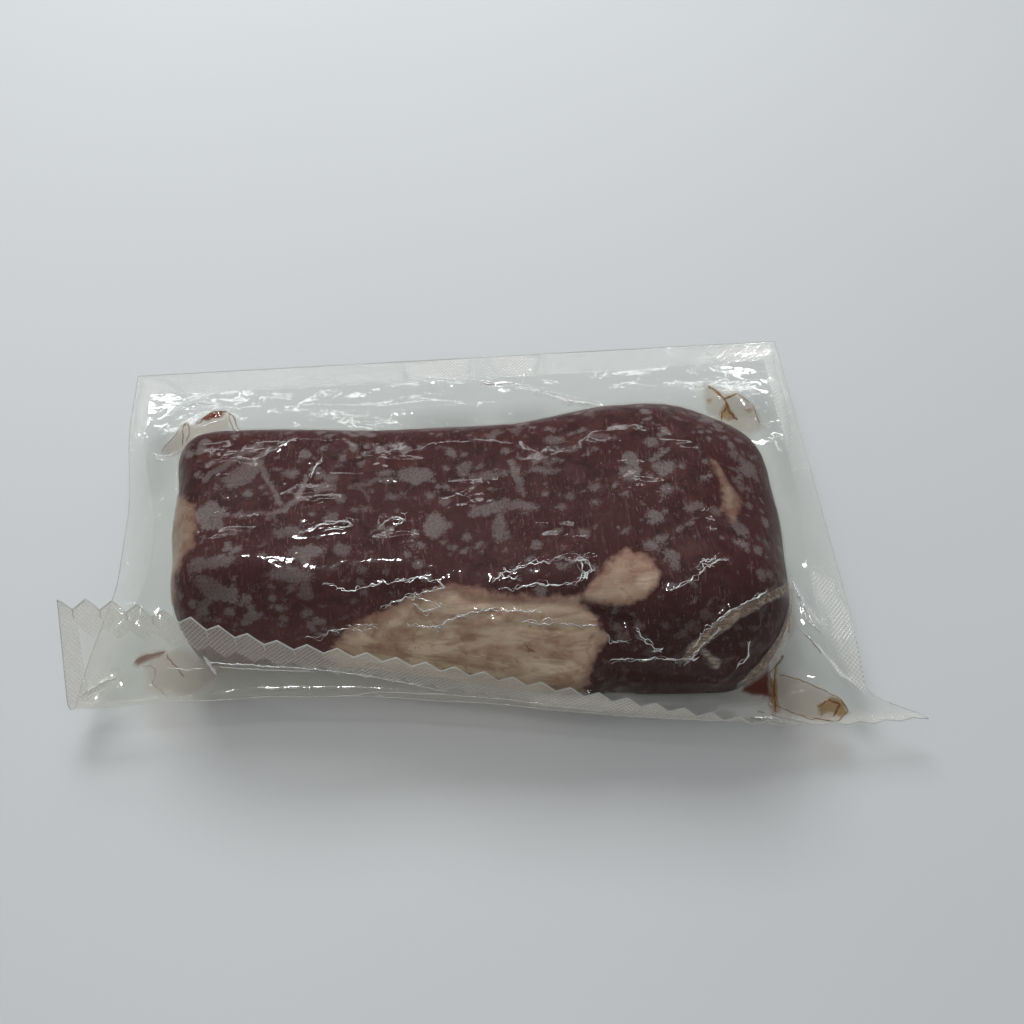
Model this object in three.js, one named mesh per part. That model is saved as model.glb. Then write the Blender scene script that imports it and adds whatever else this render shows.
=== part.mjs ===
// A raw ribeye block in a clear vacuum pouch: the meat, and the pouch that stands out round it.
// Millimetres, +Z up, +Y to the back, origin on the table under the middle of the meat.

import * as THREE from 'three';
import { mergeVertices } from 'three/addons/utils/BufferGeometryUtils.js';

// Meat: length along X, depth along Y at the narrow left end and at the wide right end
const MEAT_LENGTH = 181;
const FRONT_LEFT = -29.5;
const FRONT_RIGHT = -50.5;
const FRONT_TURN_AT = -8;
const FRONT_TURN_LENGTH = 45;
const BACK_MIDDLE = 34.5;
const BACK_LEFT_OUT = 4;
const BACK_RIGHT_OUT = 5.4;
const BACK_LEFT_SPAN = [-20, -75];
const BACK_RIGHT_SPAN = [10, 46];
const HEIGHT_LEFT = 41;
const HEIGHT_RIGHT = 46;

// Roundness of the meat's edges
const CORNER_LEFT = 12;
const CORNER_RIGHT_BACK = 42;
const CORNER_RIGHT_FRONT = 25;
const TOP_EDGE_BACK = 13;
const TOP_EDGE_FRONT = 26;
const FOOT_EDGE = 11;
const PLAN_DEPTH_EDGE_BACK = 13;
const PLAN_DEPTH_EDGE_BACK_RIGHT = 27;
const PLAN_DEPTH_EDGE_FRONT = 27;

// Relief of the meat: the fat on its front face, the seam beside it, and soft waves
const FAT_CENTRE = [-2, -44, 22];
const FAT_REACH = [36, 26, 19];
const FAT_RISE = 1;
const SEAM_AT = 37;
const SEAM_WIDTH = 3.5;
const SEAM_DEPTH = 1.6;
const WAVE_HEIGHT = 0.5;
const WAVE_LENGTH = [47, 31];
const FAT_EDGE = [1.15, 0.85];
const SEAM_FRONT_SPAN = [-20, -34];
const RELIEF_ABOVE = [6, 16];

// Relief stands out from a core box: its half length, half depth, and the heights of its two faces
const CORE_HALF_LENGTH = 60;
const CORE_HALF_DEPTH = 18;
const CORE_HEIGHTS = [14, 20];

// Pouch: the line of its rim, laid flat
const SHEET = 0.5;
const SHEET_HEIGHT = 14;
const MEAT_GAP = 0.8;
const RIM_BACK = 79;
const RIM_RIGHT = 109.5;
const RIM_LEFT = -110;
const RIM_LEFT_BACK_OUT = 4;
const RIM_LEFT_BACK_SPAN = [20, 60];
const RIM_LEFT_FRONT_OUT = 8.5;
const RIM_LEFT_FRONT_SPAN = [0, -40];
const MOUTH_TIP = 125;
const MOUTH_FLARE = 14;
const MOUTH_MIDDLE = -65.2;
const MOUTH_LEFT_OUT = 10.8;
const MOUTH_LEFT_SPAN = [-10, -125];
const MOUTH_RIGHT_IN = 4.2;
const MOUTH_RIGHT_SPAN = [40, 125];
const TOOTH_COUNT = 31;
const TOOTH_DEPTH = 3;
const TOOTH_FADE_SPAN = [85, 114];
const TOOTH_LEAST = 0.3;

// The mouth's header folds up and leans back on the meat
const FOLD_LEFT = -38;
const FOLD_RIGHT = -58;
const FOLD_TURN_SPAN = [-70, 110];
const FOLD_HEIGHT = 9;
const FOLD_RADIUS = 3.6;
const LEAN_LEFT = 143;
const LEAN_MIDDLE = 103;
const LEAN_RIGHT = 20;
const LEAN_LEFT_SPAN = [-50, -115];
const LEAN_RIGHT_SPAN = [80, 112];
const DROP_BEFORE_FOLD = [-30, 0];
const DROP_BEFORE_BACK = [60, -20];

// The two films part beside the meat, most of all at its corners
const TENT_RISE = 4;
const TENT_WIDTH = 8;
const TENT_LEAST = 0.25;
const TENT_CORNER_RISE = 4;
const TENT_CORNER_WIDTH = 12;
const TENT_CORNER_FROM = [0.72, 0.5];

// Mesh steps
const MEAT_STEP = 4;
const FOOT_RINGS = [0, 0.35, 0.7, 1];
const SIDE_STATIONS = 26;
const BACK_STATIONS = 48;
const ROWS_TO_FOLD = [0, 0.22, 0.5, 1];
const ROWS_IN_FOLD = 3;
const ROWS_PAST_FOLD = [0.5, 1];
const PLAIN_ROWS = [0, 0.1, 0.22, 0.36, 0.5, 0.62, 0.75, 0.88, 1];
const PLAIN_FROM = 25;
const WALL_ROWS = [-1, -0.33, 0.33, 1];
const BEND_SHARES = [0.12, 0.72];
const BEND_MOST = 0.6;

const HALF_LENGTH = MEAT_LENGTH / 2;
const HALF_DEPTH = 42;
const BOX_HEIGHT = 43;

const mix = (a, b, t) => a + (b - a) * t;
const clamp = THREE.MathUtils.clamp;
const radians = THREE.MathUtils.degToRad;

function ease(from, to, x) {
  const t = clamp((x - from) / (to - from), 0, 1);
  return t * t * (3 - 2 * t);
}

// Plan outline and height of the meat
function frontEdge(x) {
  const turn = Math.tanh((x - FRONT_TURN_AT) / FRONT_TURN_LENGTH);
  return mix(FRONT_LEFT, FRONT_RIGHT, 0.5 + 0.5 * turn);
}

function backEdge(x) {
  return BACK_MIDDLE + BACK_LEFT_OUT * ease(...BACK_LEFT_SPAN, x) + BACK_RIGHT_OUT * ease(...BACK_RIGHT_SPAN, x);
}

function meatHeight(x) {
  return mix(HEIGHT_LEFT, HEIGHT_RIGHT, 0.5 + 0.5 * x / HALF_LENGTH);
}

// Radii of the plan's corners along X and along Y
function cornerRadii(x, y) {
  const front = ease(HALF_DEPTH, -HALF_DEPTH, y);
  const right = ease(-HALF_LENGTH, HALF_LENGTH, x);
  const back = mix(PLAN_DEPTH_EDGE_BACK, PLAN_DEPTH_EDGE_BACK_RIGHT, right ** 2);
  return [
    mix(CORNER_LEFT, mix(CORNER_RIGHT_BACK, CORNER_RIGHT_FRONT, front), right),
    mix(back, PLAN_DEPTH_EDGE_FRONT, front),
  ];
}

// A point of the plain box, pulled on to the rounded slab that fits in it
function roundOff(q, grow) {
  const top = mix(TOP_EDGE_BACK, TOP_EDGE_FRONT, ease(HALF_DEPTH, -HALF_DEPTH, q.y));
  const radius = new THREE.Vector3(...cornerRadii(q.x, q.y), q.z > BOX_HEIGHT - top ? top : FOOT_EDGE);
  const core = new THREE.Vector3(
    clamp(q.x, radius.x - HALF_LENGTH, HALF_LENGTH - radius.x),
    clamp(q.y, radius.y - HALF_DEPTH, HALF_DEPTH - radius.y),
    clamp(q.z, FOOT_EDGE, BOX_HEIGHT - top),
  );
  const outward = q.clone().sub(core).divide(radius).normalize();
  return core.add(outward.clone().multiply(radius)).addScaledVector(outward, grow);
}

function relief(p) {
  const [cx, cy, cz] = FAT_CENTRE;
  const [rx, ry, rz] = FAT_REACH;
  const reach = Math.hypot((p.x - cx) / rx, (p.y - cy) / ry, (p.z - cz) / rz);
  const fat = FAT_RISE * ease(...FAT_EDGE, reach);
  const onFront = ease(...SEAM_FRONT_SPAN, p.y);
  const seam = SEAM_DEPTH * Math.exp(-(((p.x - SEAM_AT) / SEAM_WIDTH) ** 2)) * onFront;
  const wave = WAVE_HEIGHT * Math.cos(2 * Math.PI * p.x / WAVE_LENGTH[0])
    * Math.cos(2 * Math.PI * p.y / WAVE_LENGTH[1]);
  return (fat - seam + wave) * ease(...RELIEF_ABOVE, p.z);
}

// Surface of the meat at a point of the plain box, grown outward where asked
function meatPoint(q, grow = 0) {
  const p = roundOff(q, grow);
  const core = new THREE.Vector3(
    clamp(p.x, -CORE_HALF_LENGTH, CORE_HALF_LENGTH),
    clamp(p.y, -CORE_HALF_DEPTH, CORE_HALF_DEPTH),
    clamp(p.z, ...CORE_HEIGHTS),
  );
  const outward = p.clone().sub(core).normalize();
  p.addScaledVector(outward, relief(p));
  p.y = mix(frontEdge(p.x), backEdge(p.x), 0.5 + 0.5 * p.y / HALF_DEPTH);
  p.z *= meatHeight(p.x) / BOX_HEIGHT;
  return p;
}

// Joins a grid of points, row after row, into triangles
function addGrid(triangles, grid, flipped) {
  for (let i = 0; i + 1 < grid.length; i += 1) {
    for (let j = 0; j + 1 < grid[i].length; j += 1) {
      const [a, b] = [grid[i][j], grid[i + 1][j]];
      const [c, d] = [grid[i + 1][j + 1], grid[i][j + 1]];
      triangles.push(...(flipped ? [a, c, b, a, d, c] : [a, b, c, a, c, d]));
    }
  }
}

function solidFrom(points) {
  const geometry = new THREE.BufferGeometry().setFromPoints(points);
  const merged = mergeVertices(geometry, 1e-3);
  merged.computeVertexNormals();
  return merged;
}

function boxLine(half, step) {
  const count = Math.round(2 * half / step);
  return Array.from({ length: count + 1 }, (_, i) => mix(-half, half, i / count));
}

// A point of the foot: from the box's lower edge, inset 0, in to where the foot is flat, inset 1
function footPoint(x, y, inset) {
  const [cornerX, cornerY] = cornerRadii(x, y);
  const q = new THREE.Vector3(
    x * (1 - inset * cornerX / HALF_LENGTH),
    y * (1 - inset * cornerY / HALF_DEPTH),
    0,
  );
  return meatPoint(q);
}

// The meat: top and four sides from a grid on the box, and a flat foot
function meatGeometry() {
  const xs = boxLine(HALF_LENGTH, MEAT_STEP);
  const ys = boxLine(HALF_DEPTH, MEAT_STEP);
  const zs = boxLine(BOX_HEIGHT / 2, MEAT_STEP).map((z) => z + BOX_HEIGHT / 2);
  const at = (x, y, z) => meatPoint(new THREE.Vector3(x, y, z));
  const triangles = [];
  addGrid(triangles, xs.map((x) => ys.map((y) => at(x, y, BOX_HEIGHT))), false);
  addGrid(triangles, xs.map((x) => zs.map((z) => at(x, -HALF_DEPTH, z))), false);
  addGrid(triangles, xs.map((x) => zs.map((z) => at(x, HALF_DEPTH, z))), true);
  addGrid(triangles, ys.map((y) => zs.map((z) => at(HALF_LENGTH, y, z))), false);
  addGrid(triangles, ys.map((y) => zs.map((z) => at(-HALF_LENGTH, y, z))), true);
  const rim = [
    ...xs.map((x) => [x, -HALF_DEPTH]),
    ...ys.slice(1).map((y) => [HALF_LENGTH, y]),
    ...xs.slice(0, -1).reverse().map((x) => [x, HALF_DEPTH]),
    ...ys.slice(1, -1).reverse().map((y) => [-HALF_LENGTH, y]),
  ];
  const rings = FOOT_RINGS.map((inset) => rim.map(([x, y]) => footPoint(x, y, inset)));
  addGrid(triangles, rings.map((ring) => [...ring, ring[0]]), false);
  const flat = rings[rings.length - 1];
  const outline = flat.map((p) => new THREE.Vector2(p.x, p.y));
  for (const [a, b, c] of THREE.ShapeUtils.triangulateShape(outline, [])) {
    triangles.push(flat[a], flat[c], flat[b]);
  }
  return solidFrom(triangles);
}

// Rim of the flat pouch: its mouth with the cut teeth, its two sides and its back
function mouthLine(x) {
  return MOUTH_MIDDLE - MOUTH_LEFT_OUT * ease(...MOUTH_LEFT_SPAN, x) + MOUTH_RIGHT_IN * ease(...MOUTH_RIGHT_SPAN, x);
}

function toothDepth(x) {
  return TOOTH_DEPTH * mix(1, TOOTH_LEAST, ease(...TOOTH_FADE_SPAN, x));
}

function leftRim(y) {
  const back = RIM_LEFT_BACK_OUT * ease(...RIM_LEFT_BACK_SPAN, y);
  const front = RIM_LEFT_FRONT_OUT * ease(...RIM_LEFT_FRONT_SPAN, y);
  return RIM_LEFT - back - front;
}

function rightRim(y) {
  const flare = ease(MOUTH_FLARE, 0, y - mouthLine(MOUTH_TIP)) ** 2;
  return mix(RIM_RIGHT, MOUTH_TIP, flare);
}

// Stations round the rim, each with the point of the meat's box that it faces
function rimStations() {
  const stations = [];
  const add = (x, y, boxX, boxY) => stations.push({ rim: new THREE.Vector2(x, y), box: [boxX, boxY] });
  const mouthLeft = leftRim(mouthLine(-MOUTH_TIP));
  const mouthCount = 2 * TOOTH_COUNT;
  for (let i = 0; i < mouthCount; i += 1) {
    const t = i / mouthCount;
    const x = mix(mouthLeft, MOUTH_TIP, t);
    add(x, mouthLine(x) + (i % 2) * toothDepth(x), mix(-HALF_LENGTH, HALF_LENGTH, t), -HALF_DEPTH);
  }
  for (let i = 0; i < SIDE_STATIONS; i += 1) {
    const t = i / SIDE_STATIONS;
    const y = mix(mouthLine(MOUTH_TIP), RIM_BACK, t);
    add(rightRim(y), y, HALF_LENGTH, mix(-HALF_DEPTH, HALF_DEPTH, t));
  }
  for (let i = 0; i < BACK_STATIONS; i += 1) {
    const t = i / BACK_STATIONS;
    add(mix(rightRim(RIM_BACK), leftRim(RIM_BACK), t), RIM_BACK, mix(HALF_LENGTH, -HALF_LENGTH, t), HALF_DEPTH);
  }
  for (let i = 0; i < SIDE_STATIONS; i += 1) {
    const t = i / SIDE_STATIONS;
    const y = mix(RIM_BACK, mouthLine(mouthLeft), t);
    add(leftRim(y), y, -HALF_LENGTH, mix(HALF_DEPTH, -HALF_DEPTH, t));
  }
  return stations;
}

// The line where the mouth's header folds up, and how far it turns there
function foldLine(x) {
  return mix(FOLD_LEFT, FOLD_RIGHT, ease(...FOLD_TURN_SPAN, x));
}

function leanAngle(x) {
  const left = ease(...LEAN_LEFT_SPAN, x);
  const right = ease(...LEAN_RIGHT_SPAN, x);
  return radians(mix(mix(LEAN_MIDDLE, LEAN_LEFT, left), LEAN_RIGHT, right));
}

// Where a point of the flat pouch lies once the header is folded up
function foldedPoint(flat) {
  const past = foldLine(flat.x) - flat.y;
  const drop = ease(...DROP_BEFORE_FOLD, past) * ease(...DROP_BEFORE_BACK, flat.y);
  const height = mix(SHEET_HEIGHT, FOLD_HEIGHT, drop);
  if (past <= 0) {
    return new THREE.Vector3(flat.x, flat.y, height);
  }
  const lean = leanAngle(flat.x);
  const turned = Math.min(past / FOLD_RADIUS, lean);
  const straight = past - turned * FOLD_RADIUS;
  const forward = FOLD_RADIUS * Math.sin(turned) + straight * Math.cos(lean);
  const up = FOLD_RADIUS * (1 - Math.cos(turned)) + straight * Math.sin(lean);
  return new THREE.Vector3(flat.x, foldLine(flat.x) - forward, FOLD_HEIGHT + up);
}

function sheetNormal(flat) {
  const step = 0.4;
  const across = foldedPoint(new THREE.Vector2(flat.x + step, flat.y))
    .sub(foldedPoint(new THREE.Vector2(flat.x - step, flat.y)));
  const along = foldedPoint(new THREE.Vector2(flat.x, flat.y + step))
    .sub(foldedPoint(new THREE.Vector2(flat.x, flat.y - step)));
  return across.cross(along).normalize();
}

// Shares of the way from the meat to the rim at which a station has its rows
function rowShares(meat, rim) {
  const way = meat.distanceTo(rim);
  const fold = foldLine(mix(meat.x, rim.x, 0.5));
  const crossing = rim.y < fold ? (meat.y - fold) / (meat.y - rim.y) : 1;
  const bend = clamp(crossing, ...BEND_SHARES);
  const bendShare = Math.min(FOLD_RADIUS * leanAngle(rim.x) / way, BEND_MOST * (1 - bend));
  const folded = ROWS_TO_FOLD.map((share) => share * bend);
  for (let i = 1; i <= ROWS_IN_FOLD; i += 1) {
    folded.push(bend + bendShare * i / ROWS_IN_FOLD);
  }
  folded.push(...ROWS_PAST_FOLD.map((share) => mix(bend + bendShare, 1, share)));
  const plain = ease(0, PLAIN_FROM, rim.y - fold);
  return folded.map((share, i) => mix(share, PLAIN_ROWS[i], plain));
}

// One closed cross-section of the pouch, from the meat out over the top film and back below
function sectionLoop({ rim, box }) {
  const side = meatPoint(new THREE.Vector3(...box, SHEET_HEIGHT), MEAT_GAP);
  const meat = new THREE.Vector2(side.x, side.y);
  const room = Math.max(meat.y - foldLine(meat.x), Math.abs(box[0]) - HALF_LENGTH + TENT_WIDTH, meat.y + TENT_WIDTH);
  const [fromX, fromY] = TENT_CORNER_FROM;
  const cornerness = ease(fromX, 1, Math.abs(box[0]) / HALF_LENGTH) * ease(fromY, 1, Math.abs(box[1]) / HALF_DEPTH);
  const open = clamp(room / TENT_WIDTH, TENT_LEAST, 1);
  const rise = (TENT_RISE + TENT_CORNER_RISE * cornerness) * open;
  const width = (TENT_WIDTH + TENT_CORNER_WIDTH * cornerness) * open;
  const top = [];
  const under = [];
  for (const share of rowShares(meat, rim).slice(1)) {
    const flat = meat.clone().lerp(rim, share);
    const tent = rise * clamp(1 - flat.distanceTo(meat) / width, 0, 1) ** 2;
    const middle = foldedPoint(flat);
    const normal = sheetNormal(flat);
    top.push(middle.clone().addScaledVector(normal, SHEET / 2 + tent));
    under.push(middle.clone().addScaledVector(normal, -SHEET / 2 - tent));
  }
  const wall = WALL_ROWS.map(
    (part) => meatPoint(new THREE.Vector3(...box, SHEET_HEIGHT + part * (rise + SHEET / 2)), MEAT_GAP));
  return [...wall, ...top, ...under.reverse()];
}

function pouchGeometry() {
  const loops = rimStations().map(sectionLoop);
  const grid = [...loops, loops[0]].map((loop) => [...loop, loop[0]]);
  const triangles = [];
  addGrid(triangles, grid, true);
  return solidFrom(triangles);
}

function piece(name, geometry, material) {
  const mesh = new THREE.Mesh(geometry, new THREE.MeshStandardMaterial(material));
  mesh.name = name;
  return mesh;
}

const pack = new THREE.Group();
pack.add(piece('steak', meatGeometry(), { color: 0x4e3837, roughness: 0.45, metalness: 0 }));
pack.add(piece('pouch', pouchGeometry(), { color: 0xc6ccca, roughness: 0.15, metalness: 0 }));

export default pack;
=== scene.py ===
"""The looks of a raw ribeye block in a clear vacuum pouch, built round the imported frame.

Lengths are in millimetres in the frame's axes, and become metres where a mesh is made.
"""

import math

import bmesh
import bpy
import numpy as np
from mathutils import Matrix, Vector, noise
from mathutils.bvhtree import BVHTree


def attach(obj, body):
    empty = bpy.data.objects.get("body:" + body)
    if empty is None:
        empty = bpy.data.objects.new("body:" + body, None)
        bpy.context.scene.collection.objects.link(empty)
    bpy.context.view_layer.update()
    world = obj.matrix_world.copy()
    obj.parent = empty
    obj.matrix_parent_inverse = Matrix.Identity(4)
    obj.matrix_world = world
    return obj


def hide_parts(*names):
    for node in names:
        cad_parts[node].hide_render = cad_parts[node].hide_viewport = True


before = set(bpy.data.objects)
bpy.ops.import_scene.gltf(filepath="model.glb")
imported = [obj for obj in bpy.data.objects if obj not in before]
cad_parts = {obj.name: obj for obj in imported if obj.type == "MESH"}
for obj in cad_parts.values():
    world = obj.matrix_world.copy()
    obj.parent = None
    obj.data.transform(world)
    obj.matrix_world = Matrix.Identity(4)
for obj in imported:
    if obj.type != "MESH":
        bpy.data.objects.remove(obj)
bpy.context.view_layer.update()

MM = 0.001
SEED = 7

# Meat, the same sizes as its solid
HALF_LENGTH = 90.5
HALF_DEPTH = 42
BOX_HEIGHT = 43
FRONT_LEFT = -29.5
FRONT_RIGHT = -50.5
FRONT_TURN_AT = -8
FRONT_TURN_LENGTH = 45
BACK_MIDDLE = 34.5
BACK_LEFT_OUT = 4
BACK_RIGHT_OUT = 5.4
BACK_LEFT_SPAN = (-20, -75)
BACK_RIGHT_SPAN = (10, 46)
HEIGHT_LEFT = 41
HEIGHT_RIGHT = 46
CORNER_LEFT = 12
CORNER_RIGHT_BACK = 42
CORNER_RIGHT_FRONT = 25
TOP_EDGE_BACK = 13
TOP_EDGE_FRONT = 26
FOOT_EDGE = 11
PLAN_DEPTH_EDGE_BACK = 13
PLAN_DEPTH_EDGE_BACK_RIGHT = 27
PLAN_DEPTH_EDGE_FRONT = 27
FAT_CENTRE = (-2, -44, 22)
FAT_REACH = (36, 26, 19)
FAT_RISE = 1
SEAM_AT = 37
SEAM_WIDTH = 3.5
SEAM_DEPTH = 1.6
WAVE_HEIGHT = 0.5
WAVE_LENGTH = (47, 31)

# Pouch, the same sizes as its solid
SHEET = 0.5
SHEET_HEIGHT = 14
RIM_BACK = 79
RIM_RIGHT = 109.5
RIM_LEFT = -110
RIM_LEFT_BACK_OUT = 4
RIM_LEFT_BACK_SPAN = (20, 60)
RIM_LEFT_FRONT_OUT = 8.5
RIM_LEFT_FRONT_SPAN = (0, -40)
MOUTH_TIP = 125
MOUTH_FLARE = 14
MOUTH_MIDDLE = -65.2
MOUTH_LEFT_OUT = 10.8
MOUTH_LEFT_SPAN = (-10, -125)
MOUTH_RIGHT_IN = 4.2
MOUTH_RIGHT_SPAN = (40, 125)
TOOTH_COUNT = 31
TOOTH_DEPTH = 3
TOOTH_FADE_SPAN = (85, 114)
TOOTH_LEAST = 0.3
FOLD_LEFT = -38
FOLD_RIGHT = -58
FOLD_TURN_SPAN = (-70, 110)
FOLD_HEIGHT = 9
FOLD_RADIUS = 3.6
LEAN_LEFT = 143
LEAN_MIDDLE = 103
LEAN_RIGHT = 20
LEAN_LEFT_SPAN = (-50, -115)
LEAN_RIGHT_SPAN = (80, 112)
TENT_RISE = 4
TENT_WIDTH = 8
TENT_LEAST = 0.25
TENT_CORNER_RISE = 4
TENT_CORNER_WIDTH = 12

# Film and seal
FILM_HALF = 0.12
FILM_CREASE = 0.16
CUT_EDGE_RADIUS = 0.26
RIM_EDGE_RADIUS = 0.14
NICK_LENGTH = 2.4
NICKS_UP_TO = -10
CREASE_RADIUS = 0.24
CREASE_STEP = 0.35
CREASE_WANDER = 0.6
SEAL_WIDTH = 9.5
QUILT_PITCH = 1.0
HEM_PAST_FOLD = 4.6
HEM_SPAN = (-92, 72, 4)
HEM_RADIUS = 0.16
MEAT_UNDER_FILM = 0.3
FAR_FROM_RIM = 99.0
TUBE_SIDES = 6

# Mesh steps
TOOTH_STEPS = 8
SIDE_STATIONS = 104
FLANGE_ROWS = 46
SKIN_ROWS = 34
MEAT_STEP = 0.8

# The front view plane has x, and a second axis along FRONT_UP. Marks on the shown side are placed on it.
FRONT_UP = np.array((0, 0.85, 0.53))
FRONT_OUT = np.array((0, -0.53, 0.85))

# Fat on the shown side, as outlines on the front view plane
FAT_CAP = (
    (-46, -18), (-42, -14), (-34, -8), (-26, -4.5), (-17, -1), (-8, 1.5), (0, -0.5), (9, -3), (26, -4.5),
    (29, -8.5), (32, -13), (33.5, -16.5), (31, -21), (29, -25), (28, -34), (24, -60), (-30, -60), (-38, -40),
)
FAT_WEDGE = (
    (26, -5), (29, -2), (33, 2.5), (37, 6), (41, 7.5), (48, 4.5), (49, 0), (46, -4), (41, -7), (34, -7.5),
)
FAT_LEFT = (
    (-90, 31), (-85, 30), (-81, 27), (-79, 21), (-79, 16), (-82, 12), (-85, 7), (-86.5, -1), (-90, -2),
)
FAT_RIGHT = ((69.5, 31), (71.5, 30), (73, 25), (76.5, 20), (76, 17), (72, 13), (69.5, 16), (70.5, 22))
FAT_OUTLINES = (FAT_CAP, FAT_WEDGE, FAT_LEFT, FAT_RIGHT)
FAINT_OUTLINES = (FAT_LEFT, FAT_RIGHT)

# Folds of the meat that its film follows, as lines on the front view plane with height and half width
FOLDS = (
    (((-24, -16), (-15, -14), (-9, -11.5), (-2, -8.5), (7, -6.5)), -1.0, 1.3),
    (((4, -14.5), (6, -12), (10, -10.8), (19, -12.5), (30, -13.5)), -0.9, 1.2),
    (((-10, 0), (-3, -4), (6, -5.5), (20, -6), (28, -7.5)), -0.5, 1.2),
    (((27, -6), (31, -9), (35, -10.5), (42, -13)), -1.8, 1.6),
    (((29, -14), (31.5, -20), (28, -27), (27, -36)), -1.3, 1.5),
    (((31, -22), (42, -22), (54, -23), (64, -24.5)), 0.5, 0.9),
    (((71, -18), (71, -23), (68, -27.5), (62, -33)), 0.8, 1.2),
    (((42, -13), (45, -15.5), (48, -19.5)), 0.4, 0.6),
    (((32, -10), (38, -11), (42, -15), (48, -20.5)), 0.4, 0.6),
)

# Wrinkles that only the film has
FILM_RIDGES = (
    (((54, -23), (56, -18.5), (60, -14.5), (67, -9.5), (74, -7), (80, -4.5), (88, -5.5)), 1.1, 1.0),
    (((54, -26), (58, -19.5), (64, -14), (71, -10.5), (78, -6.5)), 0.9, 0.8),
    (((-50, -12), (-45, -12), (-41, -10), (-36, -11), (-29, -10)), 0.5, 0.6),
    (((-21, -9), (-15, -11), (-10, -9), (-3, -7), (3, -6), (9, -7.5), (16, -7)), 0.45, 0.6),
    (((10, -9.8), (15, -11), (21, -10.8), (31, -12)), 0.4, 0.5),
    (((41, -14), (43, -17), (46, -20), (49, -20.5)), 0.5, 0.6),
    (((49, -5), (56, -2), (61, 1), (68, 5)), 0.5, 0.6),
    (((-62, 40), (-57, 43), (-53, 45)), 0.35, 0.6),
)

# Fine creases of the film, glossy and whitened as a painted glint, on the front view plane
CREASES = (
    (
        (5, 3), (11, 4.4), (16, 5.4), (22, 6.4), (26, 5.6), (29.5, 5.2), (30.5, 2.5), (27, 0), (21, -1),
        (16, 0), (10, -1), (5, -1),
    ),
    ((3, 1), (5.5, 3), (9, 1.5), (11, 2.2)),
    ((27, 5), (27.5, 2.5), (29, 1), (26.5, 0.5)),
    (
        (-43, 3), (-36, 1), (-30, 2), (-23, 2.6), (-17, 3), (-12, 2.4), (-9.5, 0.4), (-14, -0.6), (-20, -1.6),
        (-24, -3), (-28, -5),
    ),
    ((-50, 17), (-44, 19), (-37, 20), (-35, 19), (-39, 18), (-43, 17.6)),
    ((-28, 17.6), (-24, 20), (-20, 19.4), (-23, 18)),
    ((-50, -12), (-46, -12), (-43, -10.6), (-38, -10), (-34, -11), (-29, -10)),
    ((-36, -9.4), (-33, -8.8), (-30, -9.4)),
    ((-20, -2), (-14, -3), (-11, -5), (-16, -6), (-19, -4)),
    ((-21, -9), (-15, -11), (-10, -9), (-3, -7), (2, -6), (7, -7), (16, -7.4)),
    ((-15, -9), (-12, -11), (-14, -12.5)),
    ((10, -10), (15, -11), (21, -11), (26, -12), (31, -12)),
    ((50, -4), (56, -2), (61, 1), (68, 4)),
    ((58, 1.4), (61, 3.4), (64, 3)),
    ((41, -14), (43, -17), (46, -20), (48.5, -20), (45, -20.6)),
    ((33, -15), (35, -17), (39, -17.6)),
    ((56, -20), (60, -15.5), (67, -10.5), (73, -8), (78, -5)),
    ((54, -25), (58, -20), (64, -15)),
    ((72, -19), (71.5, -24), (68.5, -27)),
    ((-62, 40), (-57, 43.4), (-52, 45.4)),
    ((-48, 33), (-44, 39)),
    ((34, -23), (45, -22.4), (58, -23.6)),
)

# Fine creases of the free film in the plan of the flat pouch, with their width as a share of CREASE_RADIUS
FREE_CREASES = (
    (((-104.7, 45.4), (-102.5, 43.8), (-100, 44), (-95, 45.2)), 1.2),
    (((-101.7, 59.2), (-97, 63.6), (-92, 65.2), (-88, 64.4)), 1),
    (((-90.1, 54.8), (-86.3, 56.2), (-82.5, 57.6)), 1),
    (((5, 66.5), (14, 66), (24, 61.5), (31.4, 60), (34, 56.5), (45, 54)), 1.2),
    (((6, 67.5), (10, 66.2), (16, 66.4)), 1.4),
    (((77.4, 59.8), (82, 59.2)), 1),
    (((-118, -36.5), (-112, -33.4), (-108, -31.6)), 1.8),
    (((-116, -37.5), (-111, -35)), 1.2),
    (((92.5, -31.8), (96, -36), (98.4, -40), (103, -47), (107, -50)), 1),
    (((95, -24), (95.6, -30), (99.5, -33.8)), 1.6),
    (((94.4, -17), (96, -24), (97.5, -31)), 2.2),
    (((97, 43), (98.5, 42.2), (100.5, 43.5)), 1.2),
    (((-81, -28), (-80.6, -30.4)), 1),
    (((-77.6, -59.5), (-76.6, -56.5), (-75.4, -53.4)), 2.2),
    (((-77, -57.6), (-66, -57.2), (-52, -57.4), (-40, -56.5), (-26, -54.6), (-13, -53.2)), 1),
    (((-74, -56), (-62, -55.4), (-48, -56)), 0.7),
    (((-89, -55), (-84, -54.4), (-79, -55.2)), 0.7),
    (((-46, -43.5), (-39, -45), (-31.5, -48), (-14, -51), (8, -54), (32, -57)), 0.9),
    (((-31.5, -48), (-29, -45), (-24, -43.6)), 0.7),
)

# Places where the film stands off the meat, with centre on the front view plane, half sizes, tilt in degrees
# and rise
FILM_PUFFS = (
    ((17, 2.6), (13.5, 3.4), 9, 0.55),
    ((-26, 0.6), (17, 2.3), 4, 0.5),
    ((-43, 18.4), (8, 1.6), 6, 0.4),
    ((-23.5, 19), (3.8, 1.1), 8, 0.35),
    ((-16, -3.4), (4.5, 1.3), 0, 0.35),
    ((-15.5, -8.8), (3, 1.5), 20, 0.35),
    ((58, -1), (10, 2.6), 25, 0.45),
    ((26, 0.2), (3.5, 1), -8, 0.4),
)

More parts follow.
